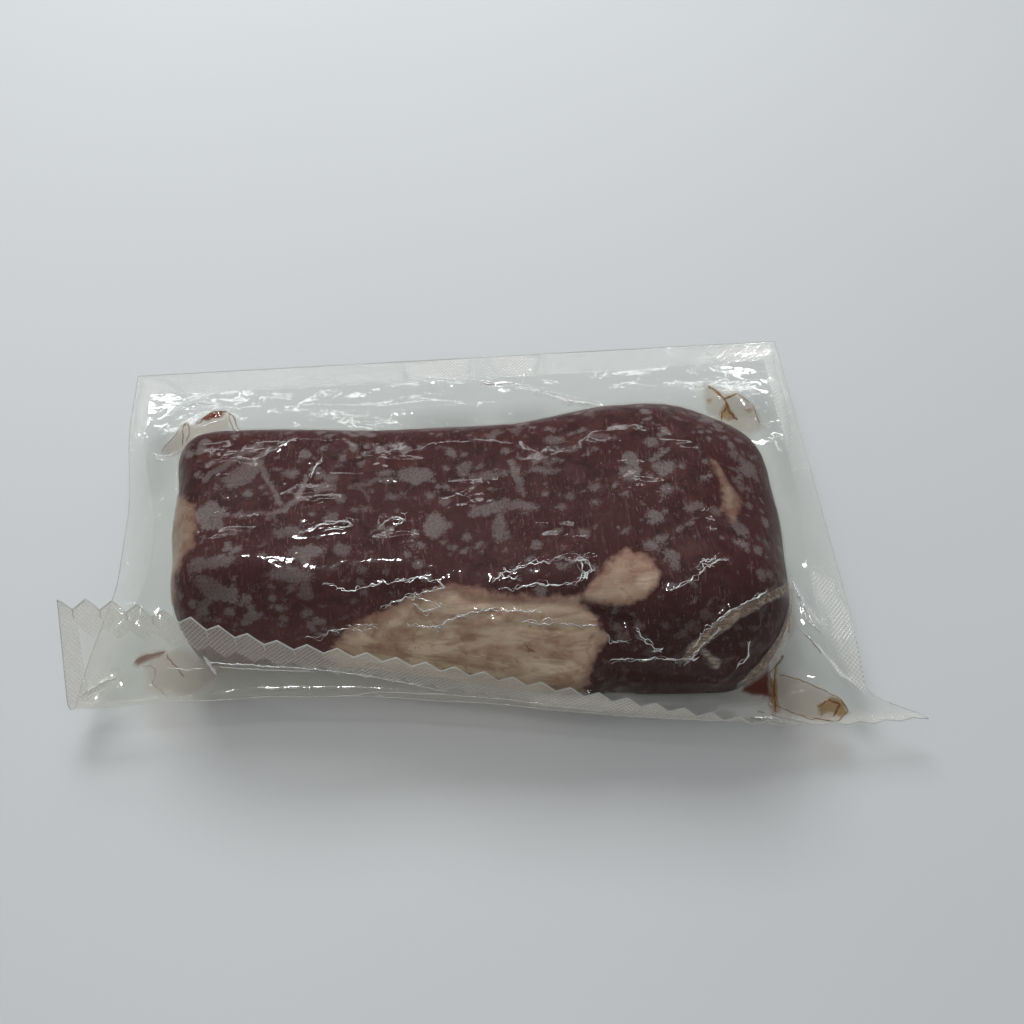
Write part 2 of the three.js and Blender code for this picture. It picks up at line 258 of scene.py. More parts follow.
# Pleats of the free film in the plan of the flat pouch, with height, half width and brown stain from 0 to 1
PLEATS = (
    (((-102, 45), (-97, 50), (-95, 56.5)), 1.6, 1.6, 0.35),
    (((-94.5, 46), (-94, 52), (-90.5, 56.5)), 1.4, 1.3, 0.35),
    (((-91, 56), (-88.5, 59), (-86, 60.4), (-82, 60.4)), 1.3, 1.1, 0.3),
    (((-104.7, 45.4), (-100.6, 44), (-95, 45)), -0.9, 1.2, 0.0),
    (((-102, 59), (-97, 63.5), (-92, 65.4), (-87, 64.5)), 0.8, 1.3, 0.0),
    (((-81.5, 60), (-79, 56), (-76.5, 51)), 1.0, 1.4, 0.3),
    (((82, 60), (84.3, 56.5), (86.2, 53.5), (87, 48.5), (89.3, 44.8)), 1.9, 1.3, 0.9),
    (((86.2, 53.5), (88.5, 54), (91.2, 56)), 1.4, 1.0, 0.8),
    (((91.2, 56), (95.5, 50), (97, 43.5)), 1.5, 1.6, 0.25),
    (((77, 60), (82, 59.5)), 1.0, 1.2, 0.0),
    (((83.5, 47), (86.5, 44.5), (90, 43)), 0.9, 1.0, 0.5),
    (((-102.5, -27), (-100, -25.8), (-94, -25.3)), 0.8, 0.9, 0.4),
    (((-93, -26), (-90, -30), (-87, -33.5)), 0.8, 0.8, 0.6),
    (((-118, -36), (-108.8, -31.5)), 1.3, 1.4, 0.0),
    (((-112, -36), (-106, -34)), 0.8, 1.0, 0.0),
    (((82, -39), (82.5, -47), (82.5, -55)), 1.6, 1.2, 0.45),
    (((84, -45.8), (92.3, -48.3), (100.5, -53.2), (102.8, -56.5)), 1.9, 1.5, 0.3),
    (((92.5, -31.8), (98.4, -40), (103, -47), (109, -51)), 1.2, 1.6, 0.0),
    (((95, -23), (95.8, -30), (99.5, -34)), 1.3, 1.8, 0.0),
    (((85, -26), (88, -31.5), (83, -37)), 1.2, 1.2, 0.2),
    (((98, -57), (95, -55), (99.5, -53.3)), 1.0, 1.0, 0.9),
)

# Places on the meat where its film is gathered double, as outlines on the front view plane
GATHERS = (
    (
        (53, -25), (55, -20), (60, -15.5), (67, -10.5), (76, -7.2), (88, -4.5), (87, -7.5), (77, -9.5),
        (69, -13), (62, -18),
    ),
    ((70, -33), (76, -27), (82, -20), (87, -11), (90, -12), (89, -24), (84, -32), (78, -38)),
    ((64, -25), (60, -21.5), (57, -20), (60, -22.5), (63, -27)),
)

# Long waves of the free film, stated like PLEATS
LONG_WAVES = (
    (((5, 66), (25, 61), (33, 57), (47, 53.5)), 1.5, 2.2, 0.0),
    (((-20, 72), (-4, 67), (10, 68)), 0.8, 3.5, 0.0),
    (((-60, 60), (-30, 57), (0, 58)), 0.8, 3.0, 0.0),
    (((50, 62), (66, 58), (74, 60)), 0.9, 2.5, 0.0),
    (((-106, 40), (-108, 15), (-112, -8)), 1.2, 3.0, 0.0),
    (((-100, 30), (-101, 5), (-106, -22)), 0.8, 2.0, 0.0),
    (((101, 40), (102, 15), (100, -18)), 1.4, 2.6, 0.0),
    (((-80, -29), (-50, -33), (-20, -40), (10, -47)), 0.9, 1.6, 0.0),
)

# Zones of the free film on the same plan, with a tan shade, with brown stains, and with red juice under it
TAN_ZONES = (
    (
        (-102.5, 44), (-98.5, 51), (-95.5, 57), (-91, 56), (-88, 60), (-85, 61.5), (-81, 61), (-80, 52),
        (-84, 46), (-93, 43),
    ),
    ((80.5, 61), (86, 58), (92, 57), (96, 50), (97.5, 42), (93, 38), (84, 42), (80, 50)),
    ((82, -38), (84, -45), (92.3, -48.3), (100.5, -53.2), (103, -57), (99, -60), (91, -58.5), (82, -54)),
    ((84, -33), (91, -18), (94, -19), (92, -32), (86, -38)),
    ((-101, -25), (-86, -26), (-74, -31), (-86, -40), (-98, -36)),
)
BROWN_ZONES = (
    ((94, -54.6), (98, -52.4), (101.5, -53.8), (103.6, -57), (100.5, -58.6), (98, -56.8), (95, -58)),
    ((83.6, 47), (86.4, 52.5), (88.5, 49), (89, 45), (86, 44)),
    ((92.6, 50), (94.6, 49.4), (95.4, 47.6), (93.6, 47.8)),
    ((80.6, 54.6), (82.2, 54.8), (82.5, 53.2), (81, 53)),
    ((80.5, -46), (83, -46.5), (84, -56), (81, -56)),
)
JUICE_POOLS = (
    ((-92, 56.3), (-89.5, 58.6), (-86, 60.3), (-82.3, 60.8), (-84, 58.6), (-88, 57.6)),
    ((-103, -27.8), (-100.5, -26), (-94, -24.9), (-94.3, -25.9), (-99, -26.9), (-101.5, -28.6)),
    ((68.5, -47.5), (72, -43.5), (76.5, -39.5), (80, -42), (81.5, -51.5), (75, -50.5)),
)

# Zones of the same plan where the seal's weave shows, and where light and glare on the free film are painted
# as a whitish haze
WOVEN_ZONES = (
    ((-116, 79), (-97, 79), (-95, 66), (-100, 52), (-116, 55)),
    ((-26, 80), (-23, 69), (3, 67), (5, 80)),
    ((7, 80), (8, 70), (25, 66), (28, 80)),
    ((66, 80), (80, 67), (97, 62), (100, 28), (112, 26), (112, 80)),
    ((98, -12), (112, -12), (126, -60), (103, -53)),
)
PAINTED_GLARE_ZONES = (
    ((-112, 78), (-104, 76), (-99, 70), (-101, 60), (-106, 48), (-111, 55)),
    ((-22, 79), (-19, 71), (-2, 69), (1, 78)),
    ((8, 79), (10, 71), (22, 68), (25, 78)),
    ((84, 78), (90, 68), (100, 60), (101, 34), (105, 34), (107, 78)),
    ((92, 46), (96.5, 44), (98.6, 8), (95.6, 6), (93.5, 26)),
    ((93.6, -12), (97.4, -16), (101.5, -34), (97, -31)),
    ((101, -14), (106, -16), (112, -50), (106, -50)),
    ((-117, -32), (-108, -29), (-104, -34), (-116, -40)),
    ((10, -45), (50, -50), (70, -53), (84, -53), (88, -64), (60, -66), (30, -64), (12, -56)),
)

# Folds of the free film with a glint painted on as a whitish band over their whole width, stated like PLEATS
PAINTED_GLINT_FOLDS = (
    (((5, 66), (14, 65.6), (24, 61.5), (31, 59.5), (34, 56.8), (47, 53.5)), 0, 1.5, 1),
    (((-103.5, 43.5), (-100, 44.4), (-96, 45.4)), 0, 0.9, 0.8),
    (((-118, -36.5), (-112, -33.6), (-108, -31.6)), 0, 1.6, 0.9),
    (((94.6, -17), (96.6, -24), (99.6, -31)), 0, 1.4, 0.9),
    (((98, -38), (102.5, -46), (107.5, -50.5)), 0, 1.0, 0.8),
)
PAINTED_GLINT_FOLD_SHARE = 4.5

# Creases of the free film with juice dried in them, with their half width
STAINED_CREASES = (
    (((82.2, 60.2), (84.3, 56.3), (86.2, 53.5), (87, 48.4), (89.4, 44.6)), 0.55),
    (((86.2, 53.5), (88.4, 54.2), (91.2, 56)), 0.45),
    (((86.6, 50), (84.6, 47.6), (84, 45)), 0.3),
    (((91.2, 56), (95.5, 50.3), (96.6, 43)), 0.18),
    (((-90.9, 56.1), (-88.5, 58.8), (-86, 60.5), (-82, 60.8)), 0.3),
    (((-95.3, 57), (-95.6, 52.2), (-95, 47)), 0.2),
    (((-94.6, 56.6), (-93.4, 54), (-93.8, 48)), 0.16),
    (((-102, 45), (-98.9, 51), (-95.3, 57)), 0.14),
    (((-81, 60), (-79.3, 58), (-78, 54), (-76.6, 51.4)), 0.2),
    (((-81, 60), (-80.6, 57), (-79, 53), (-76.6, 51.4)), 0.18),
    (((-102.7, -27.6), (-100, -25.9), (-94, -25.2)), 0.4),
    (((-92.8, -26), (-90.1, -29.8), (-87, -33.6)), 0.28),
    (((-101, -29), (-98.4, -28.4), (-96.3, -30.5), (-97, -34), (-92.2, -39)), 0.12),
    (((84, -45.5), (92.3, -48.3), (97, -50.6), (100.6, -53), (103, -56.8)), 0.2),
    (((103, -56.8), (99.5, -59.8), (91.7, -58.7), (82.6, -54)), 0.18),
    (((94.8, -55), (98, -53.2), (100.8, -55), (98.4, -58.2)), 0.4),
    (((82, -38.5), (82.3, -47), (82.3, -56)), 0.35),
    (((80.4, -41), (80.9, -47), (83.4, -53)), 0.2),
    (((92.5, -31.8), (98.4, -40)), 0.14),
    (((84, -33), (88, -26), (92.8, -18)), 0.22),
)

# Grey patches of frost between film and meat, with centre on the front view plane, half sizes and tilt
FROST_MARKS = (
    ((-76, 24), (3.9, 4.1), 0), ((-67, 35), (5, 3), 30), ((-17, 32), (5.4, 2.6), -5),
    ((-12, 17), (3.4, 3.8), 0), ((4, 21), (5.2, 1.7), 0), ((13, 21.3), (4.8, 1.4), 0),
    ((6, 15.5), (1.7, 4.2), 0), ((-48, 12), (4.8, 2.1), 6), ((-52, 6), (6, 2.2), -5),
    ((-73, 3), (6.2, 2.9), -30), ((45, 29), (2.9, 2.1), 0), ((55, 30), (3.4, 1.8), 15),
    ((73, 12), (1.9, 3.6), 35), ((81, 28), (3.2, 2.4), 0), ((-54, 35), (2.4, 1.4), 0),
    ((-42, 33), (2.5, 1.3), 0), ((-43, 30), (3.4, 1.4), 8), ((-39, 27), (1.9, 1.3), -40),
    ((-53, 18), (4.4, 1.7), -5), ((-38, 12), (2.2, 1.8), 0), ((-26, 33), (2.3, 0.9), 0),
    ((-3, 33), (2.6, 1.7), 40), ((4, 31), (3.6, 1.1), 0), ((24, 40), (3, 1.3), -10),
    ((20, 31), (5, 0.8), 0), ((27, 23), (1.4, 1.2), 0), ((39, 40), (4, 0.8), -3), ((46, 33), (2.1, 2), 0),
    ((50, 16), (2.6, 1.8), -20), ((48, 8), (2.6, 1.3), -25), ((53, 5), (2.3, 1.3), -30),
    ((62, 18), (2.8, 1.4), 0), ((-64, -5), (1.8, 1.5), 0), ((-78, 10), (3, 2.2), 20),
    ((-73, 11), (5.4, 1.8), 6), ((-66, -7), (1.4, 1.2), 0),
)
FROST_STREAKS = (
    ((-78, 35), (-64, 44), 1.0), ((-73, 34), (-60, 42.5), 0.7), ((-49, 33), (-51.5, 26.5), 0.9),
    ((-51.5, 26.5), (-54, 24), 0.9), ((-54, 24), (-69, 23.5), 0.6), ((-63, 39), (-56, 26), 0.8),
    ((-36, 30), (-24, 31), 0.6), ((11, 34), (14, 25), 1.0), ((20, 36), (22, 33), 0.7),
    ((57, 36), (52, 32), 0.6), ((-34, 30), (-31, 26), 0.6),
)
FROST_RANDOM_COUNT = 1500

# Where shade is painted on the lean, lower on the shown side towards the right, and where light is painted on
# it, lower on the shown side towards the left, in the front view plane
PAINTED_SHADE_FROM_LEFT = (18, 48)
PAINTED_SHADE_FROM_TOP = (6, -16)
PAINTED_LIGHT_FROM_RIGHT = (10, -35)


def mix(a, b, t):
    return a + (b - a) * t


def ease(start, end, x):
    t = np.clip((np.asarray(x, float) - start) / (end - start), 0, 1)
    return t * t * (3 - 2 * t)


def unit(v):
    return v / np.maximum(np.linalg.norm(v, axis=-1, keepdims=True), 1e-9)


def linear(red, green, blue, alpha=1.0):
    """A colour given in display values from 0 to 255, as the shader wants it."""
    values = []
    for channel in (red, green, blue):
        c = channel / 255
        values.append(c / 12.92 if c <= 0.04045 else ((c + 0.055) / 1.055) ** 2.4)
    return (*values, alpha)


# Shape of the meat

def front_edge(x):
    return mix(FRONT_LEFT, FRONT_RIGHT, 0.5 + 0.5 * np.tanh((x - FRONT_TURN_AT) / FRONT_TURN_LENGTH))


def back_edge(x):
    return BACK_MIDDLE + BACK_LEFT_OUT * ease(*BACK_LEFT_SPAN, x) + BACK_RIGHT_OUT * ease(*BACK_RIGHT_SPAN, x)


def corner_radii(x, y):
    """Radii of the plan's corners along X and along Y."""
    front = ease(HALF_DEPTH, -HALF_DEPTH, y)
    right = ease(-HALF_LENGTH, HALF_LENGTH, x)
    back = mix(PLAN_DEPTH_EDGE_BACK, PLAN_DEPTH_EDGE_BACK_RIGHT, right ** 2)
    along_x = mix(CORNER_LEFT, mix(CORNER_RIGHT_BACK, CORNER_RIGHT_FRONT, front), right)
    return along_x, mix(back, PLAN_DEPTH_EDGE_FRONT, front)


def round_off(q, grow):
    """Points of the plain box, pulled on to the rounded slab that fits in it."""
    top = mix(TOP_EDGE_BACK, TOP_EDGE_FRONT, ease(HALF_DEPTH, -HALF_DEPTH, q[:, 1]))
    radius = np.stack((
        *corner_radii(q[:, 0], q[:, 1]),
        np.where(q[:, 2] > BOX_HEIGHT - top, top, FOOT_EDGE),
    ), 1)
    core = np.stack((
        np.clip(q[:, 0], radius[:, 0] - HALF_LENGTH, HALF_LENGTH - radius[:, 0]),
        np.clip(q[:, 1], radius[:, 1] - HALF_DEPTH, HALF_DEPTH - radius[:, 1]),
        np.clip(q[:, 2], FOOT_EDGE, BOX_HEIGHT - top),
    ), 1)
    outward = unit((q - core) / radius)
    return core + outward * (radius + grow)


def relief(p):
    reach = np.linalg.norm((p - FAT_CENTRE) / FAT_REACH, axis=1)
    fat = FAT_RISE * ease(1.15, 0.85, reach)
    seam = SEAM_DEPTH * np.exp(-(((p[:, 0] - SEAM_AT) / SEAM_WIDTH) ** 2)) * ease(-20, -34, p[:, 1])
    turns = math.tau * p[:, :2] / WAVE_LENGTH
    wave = WAVE_HEIGHT * np.cos(turns[:, 0]) * np.cos(turns[:, 1])
    return (fat - seam + wave) * ease(6, 16, p[:, 2])


def meat_point(q, grow=0.0):
    """Surface of the meat at points of the plain box, grown outward where asked."""
    q = np.asarray(q, float).reshape(-1, 3)
    p = round_off(q, grow)
    outward = unit(p - np.clip(p, (-60, -18, 14), (60, 18, 20)))
    p = p + outward * relief(p)[:, None]
    p[:, 1] = mix(front_edge(p[:, 0]), back_edge(p[:, 0]), 0.5 + 0.5 * p[:, 1] / HALF_DEPTH)
    p[:, 2] *= mix(HEIGHT_LEFT, HEIGHT_RIGHT, 0.5 + 0.5 * p[:, 0] / HALF_LENGTH) / BOX_HEIGHT
    return p


# Measures on the front view plane

def front_view(p):
    return np.stack((p[:, 0], p @ FRONT_UP), 1)


def stray(places, reach, size, seed):
    """The places moved a little at random, so that marks drawn on them get ragged outlines."""
    spots = np.column_stack((places, np.zeros(len(places)))) if places.shape[1] == 2 else places
    shifts = []
    for k in range(places.shape[1]):
        shifts.append(lumps(spots, size, seed + k) + 0.5 * lumps(spots, size * 0.4, seed + k + 5))
    return places + reach * np.stack(shifts, 1)


def line_distance(points, line):
    """Distance from each point to an open line, and the share of the line before the nearest place."""
    nearest = np.full(len(points), 1e9)
    along = np.zeros(len(points))
    pieces = len(line) - 1
    for i in range(pieces):
        a, b = np.array(line[i], float), np.array(line[i + 1], float)
        t = np.clip((points - a) @ (b - a) / max((b - a) @ (b - a), 1e-9), 0, 1)
        distance = np.linalg.norm(points - a - t[:, None] * (b - a), axis=1)
        closer = distance < nearest
        nearest = np.where(closer, distance, nearest)
        along = np.where(closer, (i + t) / pieces, along)
    return nearest, along


def outline_distance(points, outline):
    """Distance from each point to a closed outline, less than zero inside it."""
    distance, _ = line_distance(points, (*outline, outline[0]))
    inside = np.zeros(len(points), bool)
    for (x0, y0), (x1, y1) in zip(outline, (*outline[1:], outline[0])):
        crosses = (y0 > points[:, 1]) != (y1 > points[:, 1])
        at = x0 + (points[:, 1] - y0) * (x1 - x0) / ((y1 - y0) or 1e-9)
        inside ^= crosses & (points[:, 0] < at)
    return np.where(inside, -distance, distance)


def oval_distance(points, centre, half_sizes, tilt):
    turn = math.radians(tilt)
    away = points - centre
    u = away[:, 0] * math.cos(turn) + away[:, 1] * math.sin(turn)
    v = away[:, 1] * math.cos(turn) - away[:, 0] * math.sin(turn)
    return (np.hypot(u / half_sizes[0], v / half_sizes[1]) - 1) * min(half_sizes)


def lumps(p, size, seed=0):
    """Soft noise from about -1 to 1, with lumps of the given size."""
    return np.array([noise.noise(Vector(v)) for v in p / size + seed * 13.7])


def ridge_height(view, ridges):
    total = np.zeros(len(view))
    for line, height, width in ridges:
        distance, along = line_distance(view, line)
        fade = ease(0, 0.12, along) * ease(1, 0.88, along)
        total += height * np.exp(-((distance / width) ** 2)) * fade
    return total


def sharp_ridge_height(places, ridges):
    """Like ridge_height, but with a crest as sharp as a crease in film."""
    total = np.zeros(len(places))
    for line, height, width, _ in ridges:
        distance, along = line_distance(places, line)
        fade = ease(0, 0.2, along) * ease(1, 0.8, along)
        total += height * np.clip(1 - distance / width, 0, 1) ** 1.5 * fade
    return total


def stain_share(places, ridges, zones, soft):
    """How stained the film is along its pleats and in its zones, from 0 to 1."""
    share = np.zeros(len(places))
    for line, _, width, stain in ridges:
        if stain:
            distance, _ = line_distance(places, line)
            share = np.maximum(share, stain * ease(width * 0.9, 0, distance))
    for zone in zones:
        share = np.maximum(share, ease(soft, -soft, outline_distance(places, zone)))
    return share


# Meshes

class Shell:
    """Points and faces gathered grid by grid."""

    def __init__(self):
        self.points = []
        self.faces = []
        self.count = 0

    def add_points(self, points):
        start = self.count
        self.points.append(np.asarray(points, float).reshape(-1, 3))
        self.count += len(self.points[-1])
        return start

    def add_quads(self, index):
        quads = np.stack((index[:-1, :-1], index[1:, :-1], index[1:, 1:], index[:-1, 1:]), -1)
        self.faces.extend(quads.reshape(-1, 4).tolist())

    def add_grid(self, grid):
        rows, columns = grid.shape[:2]
        start = self.add_points(grid)
        self.add_quads(np.arange(rows * columns).reshape(rows, columns) + start)

    def mesh(self, name):
        data = bpy.data.meshes.new(name)
        data.from_pydata((np.concatenate(self.points) * MM).tolist(), [], self.faces)
        data.update()
        return data


def add_object(name, data, material):
    piece = bpy.data.objects.new(name, data)
    bpy.context.scene.collection.objects.link(piece)
    data.materials.append(material)
    data.shade_smooth()
    return piece


def weld(data, distance):
    """Joins the points that meet, and turns all faces outward, told by the highest one."""
    mesh = bmesh.new()
    mesh.from_mesh(data)
    bmesh.ops.remove_doubles(mesh, verts=mesh.verts, dist=distance * MM)
    bmesh.ops.recalc_face_normals(mesh, faces=mesh.faces)
    highest = max(mesh.faces, key=lambda face: face.calc_center_median().z)
    if highest.normal.z < 0:
        bmesh.ops.reverse_faces(mesh, faces=mesh.faces)
    mesh.to_mesh(data)
    mesh.free()


def read_points(data):
    points = np.zeros(len(data.vertices) * 3)
    normals = np.zeros(len(data.vertices) * 3)
    data.vertices.foreach_get("co", points)
    data.vertices.foreach_get("normal", normals)
    return points.reshape(-1, 3) / MM, normals.reshape(-1, 3)


def write_points(data, points):
    data.vertices.foreach_set("co", (points * MM).ravel())
    data.update()


def store(data, name, values):
    kind = "FLOAT" if np.ndim(values) == 1 else "FLOAT_VECTOR"
    layer = data.attributes.new(name, kind, "POINT")
    layer.data.foreach_set("value" if kind == "FLOAT" else "vector", np.asarray(values, float).ravel())


# Shader helpers

def new_material(name):
    material = bpy.data.materials.new(name)
    material.use_nodes = True
    material.node_tree.nodes.clear()
    return material, material.node_tree


def node(tree, kind, settings=None, **inputs):
    """Adds a node. An input goes by its name with underscores for spaces, or by i and its number."""
    made = tree.nodes.new(kind)
    for key, value in (settings or {}).items():
        setattr(made, key, value)
    for key, value in inputs.items():
        numbered = key[0] == "i" and key[1:].isdigit()
        socket = made.inputs[int(key[1:]) if numbered else key.replace("_", " ")]
        if isinstance(value, bpy.types.NodeSocket):
            tree.links.new(value, socket)
        else:
            socket.default_value = value
    return made


def attribute(tree, name):
    return node(tree, "ShaderNodeAttribute", {"attribute_name": name}).outputs["Fac"]


def math_node(tree, operation, a, b=0.0):
    return node(tree, "ShaderNodeMath", {"operation": operation}, i0=a, i1=b).outputs[0]


def plus(tree, a, b):
    return math_node(tree, "ADD", a, b)


def times(tree, a, b):
    return math_node(tree, "MULTIPLY", a, b)


def step(tree, value, low, high):
    """0 at low, 1 at high, smooth between."""
    made = node(tree, "ShaderNodeMapRange", {"interpolation_type": "SMOOTHSTEP"}, Value=value)
    made.inputs["From Min"].default_value = low
    made.inputs["From Max"].default_value = high
    return made.outputs[0]


def blend_colour(tree, share, a, b):
    made = tree.nodes.new("ShaderNodeMix")
    made.data_type = "RGBA"
    for socket, value in ((made.inputs[0], share), (made.inputs[6], a), (made.inputs[7], b)):
        if isinstance(value, bpy.types.NodeSocket):
            tree.links.new(value, socket)
        else:
            socket.default_value = value
    return made.outputs[2]


def place(tree, stretch=(1, 1, 1)):
    """The surface's own place in millimetres, stretched for a pattern."""
    coordinates = node(tree, "ShaderNodeTexCoord").outputs["Object"]
    made = node(tree, "ShaderNodeVectorMath", {"operation": "MULTIPLY"}, i0=coordinates)
    made.inputs[1].default_value = [s / MM for s in stretch]
    return made.outputs[0]


def pattern(tree, vector, scale, detail=2.0, roughness=0.5, distortion=0.0):
    made = node(tree, "ShaderNodeTexNoise", Vector=vector, Scale=scale, Detail=detail, Roughness=roughness)
    made.inputs["Distortion"].default_value = distortion
    return made.outputs["Fac"]


def output(tree, surface):
    node(tree, "ShaderNodeOutputMaterial", Surface=surface)


# Meat

def box_line(half, step_size):
    return np.linspace(-half, half, round(2 * half / step_size) + 1)


def face_grid(first, second, at):
    a, b = np.meshgrid(first, second, indexing="ij")
    box = np.stack(np.broadcast_arrays(*at(a, b)), -1).astype(float)
    return meat_point(box.reshape(-1, 3), -MEAT_UNDER_FILM).reshape(*box.shape)


def meat_mesh():
    xs = box_line(HALF_LENGTH, MEAT_STEP)
    ys = box_line(HALF_DEPTH, MEAT_STEP)
    zs = np.linspace(0, BOX_HEIGHT, round(BOX_HEIGHT / MEAT_STEP) + 1)
    shell = Shell()
    shell.add_grid(face_grid(xs, ys, lambda x, y: (x, y, BOX_HEIGHT)))
    shell.add_grid(face_grid(xs[::2], ys[::2], lambda x, y: (x, y, 0)))
    for side in (-HALF_DEPTH, HALF_DEPTH):
        shell.add_grid(face_grid(xs, zs, lambda x, z: (x, side, z)))
    for side in (-HALF_LENGTH, HALF_LENGTH):
        shell.add_grid(face_grid(ys, zs, lambda y, z: (side, y, z)))
    data = shell.mesh("meat")
    weld(data, 0.02)
    return data


def fat_field(points, normals):
    """Distance to the fat's edge, less than zero in the fat."""
    view = front_view(points)
    field = np.full(len(points), 30.0)
    shown = normals @ FRONT_OUT > 0.05
    for outline in FAT_OUTLINES:
        field = np.minimum(field, np.where(shown, outline_distance(view, outline), 30.0))
    below = (normals @ FRONT_OUT <= 0.05) & (points[:, 1] < 0) & (points[:, 2] < 14)
    strip = np.maximum(points[:, 1] + 34, np.abs(points[:, 0] + 4) - 30) + 2 * lumps(points, 9, 3)
    return np.where(below, np.minimum(field, strip), field)


def frost_field(points, normals, fat):
    """Distance to the nearest frost patch's edge, less than zero in a patch."""
    view = stray(front_view(points), 1.0, 3.2, 31)
    places = stray(points, 0.55, 2.2, 41)
    shown = normals @ FRONT_OUT > 0.05
    field = np.full(len(points), 5.0)
    for centre, half_sizes, tilt in FROST_MARKS:
        field = np.minimum(field, np.where(shown, oval_distance(view, centre, half_sizes, tilt), 5.0))
    for start, end, width in FROST_STREAKS:
        distance, _ = line_distance(view, (start, end))
        field = np.minimum(field, np.where(shown, distance - width, 5.0))
    rng = np.random.default_rng(SEED)
    lean = np.nonzero((fat > 1.5) & (points[:, 2] > 1))[0]
    for centre in rng.choice(lean, FROST_RANDOM_COUNT):
        size = 0.35 + 1.6 * rng.random() ** 2
        aspect = 0.45 + 0.5 * rng.random()
        tilt = rng.normal(0, 0.6)
        away = places - points[centre]
        near = np.nonzero(np.abs(away).max(1) < 6)[0]
        normal = normals[centre]
        side = unit(np.cross((0.02, 0.99, 0.1), normal))
        rise = np.cross(normal, side)
        u = side * math.cos(tilt) + rise * math.sin(tilt)
        v = rise * math.cos(tilt) - side * math.sin(tilt)
        local = away[near]
        length = np.hypot(np.hypot(local @ u, local @ v / aspect), local @ normal * 0.4)
        field[near] = np.minimum(field[near], (length - size) * aspect)
    return field


def build_meat():
    data = meat_mesh()
    points, normals = read_points(data)
    fat = fat_field(points, normals)
    shown = ease(0.0, 0.3, normals @ FRONT_OUT)
    folds = ridge_height(front_view(points), FOLDS) * shown
    in_fat = ease(0.6, -0.6, fat)
    fibre = lumps(points * (1.6, 0.25, 0.5), 1.0, 1) * 0.09 + lumps(points, 2.2, 2) * 0.08
    edge_step = 0.35 * ease(0.9, -0.9, fat) - 0.2
    height = folds + edge_step + fibre * mix(1, 0.4, in_fat) + 0.12 * lumps(points, 6, 5)
    points = points + normals * (height * ease(1.5, 6, points[:, 2]))[:, None]
    write_points(data, points)
    view = front_view(points)
    store(data, "fat", fat)
    store(data, "frost", frost_field(points, normals, fat))
    store(data, "upper", ease(30, 41, points[:, 2]))
    low = ease(*PAINTED_SHADE_FROM_TOP, view[:, 1]) * shown
    # Painted shade on the lower right of the shown side
    store(data, "painted_shade", ease(*PAINTED_SHADE_FROM_LEFT, view[:, 0]) * low)
    # Painted light on the lower left of the shown side, stored as pale
    store(data, "pale", ease(*PAINTED_LIGHT_FROM_RIGHT, view[:, 0]) * low)
    faint = np.min([outline_distance(view, outline) for outline in FAINT_OUTLINES], axis=0)
    store(data, "faint", ease(6, 3, faint))
    return add_object("meat", data, meat_material())


def ragged(tree, name, scale, reach):
    """A stored distance, made ragged by a fine pattern."""
    rough = math_node(tree, "SUBTRACT", pattern(tree, place(tree), scale, 3), 0.5)
    return plus(tree, attribute(tree, name), times(tree, rough, reach))


def lean_colour(tree, middle, fibres):
    here = place(tree)
    broad = pattern(tree, here, 0.045, 3, 0.6)
    lean = blend_colour(tree, step(tree, middle, 0.35, 0.68), linear(55, 23, 23), linear(82, 45, 43))
    lean = blend_colour(tree, step(tree, broad, 0.42, 0.62), lean, linear(70, 29, 29))
    # Painted shade darkens the lower right of the shown side
    lean = blend_colour(tree, times(tree, attribute(tree, "painted_shade"), 0.65), lean, linear(48, 10, 11))
    # Painted light brightens the lower left of the shown side
    lean = blend_colour(tree, times(tree, attribute(tree, "pale"), 0.4), lean, linear(118, 74, 70))
    lean = blend_colour(tree, times(tree, step(tree, fibres, 0.56, 0.72), 0.35), lean, linear(128, 98, 96))
    scratches = pattern(tree, place(tree, (2.8, 0.34, 0.5)), 1.0, 3, 0.7, 1.6)
    scratch_zone = step(tree, pattern(tree, here, 0.06, 2), 0.42, 0.56)
    scratch = times(tree, step(tree, scratches, 0.62, 0.7), scratch_zone)
    lean = blend_colour(tree, times(tree, scratch, 0.7), lean, linear(176, 156, 152))
    flecks = step(tree, pattern(tree, here, 0.9, 3, 0.7, 0.5), 0.62, 0.74)
    return blend_colour(tree, times(tree, flecks, 0.35), lean, linear(140, 120, 120))


def frost_share(tree):
    here = place(tree)
    share = step(tree, ragged(tree, "frost", 1.5, 2.2), 0.5, -0.5)
    mottle = step(tree, pattern(tree, here, 1.8, 4, 0.8), 0.34, 0.64)
    strength = step(tree, pattern(tree, here, 0.07, 2), 0.3, 0.65)
    share = times(tree, share, plus(tree, times(tree, mottle, 0.5), 0.32))
    # The frost is dimmed in the painted shade as well
    share = times(tree, share, plus(tree, times(tree, attribute(tree, "painted_shade"), -0.65), 1.0))
    return times(tree, share, plus(tree, times(tree, strength, 0.6), 0.62))


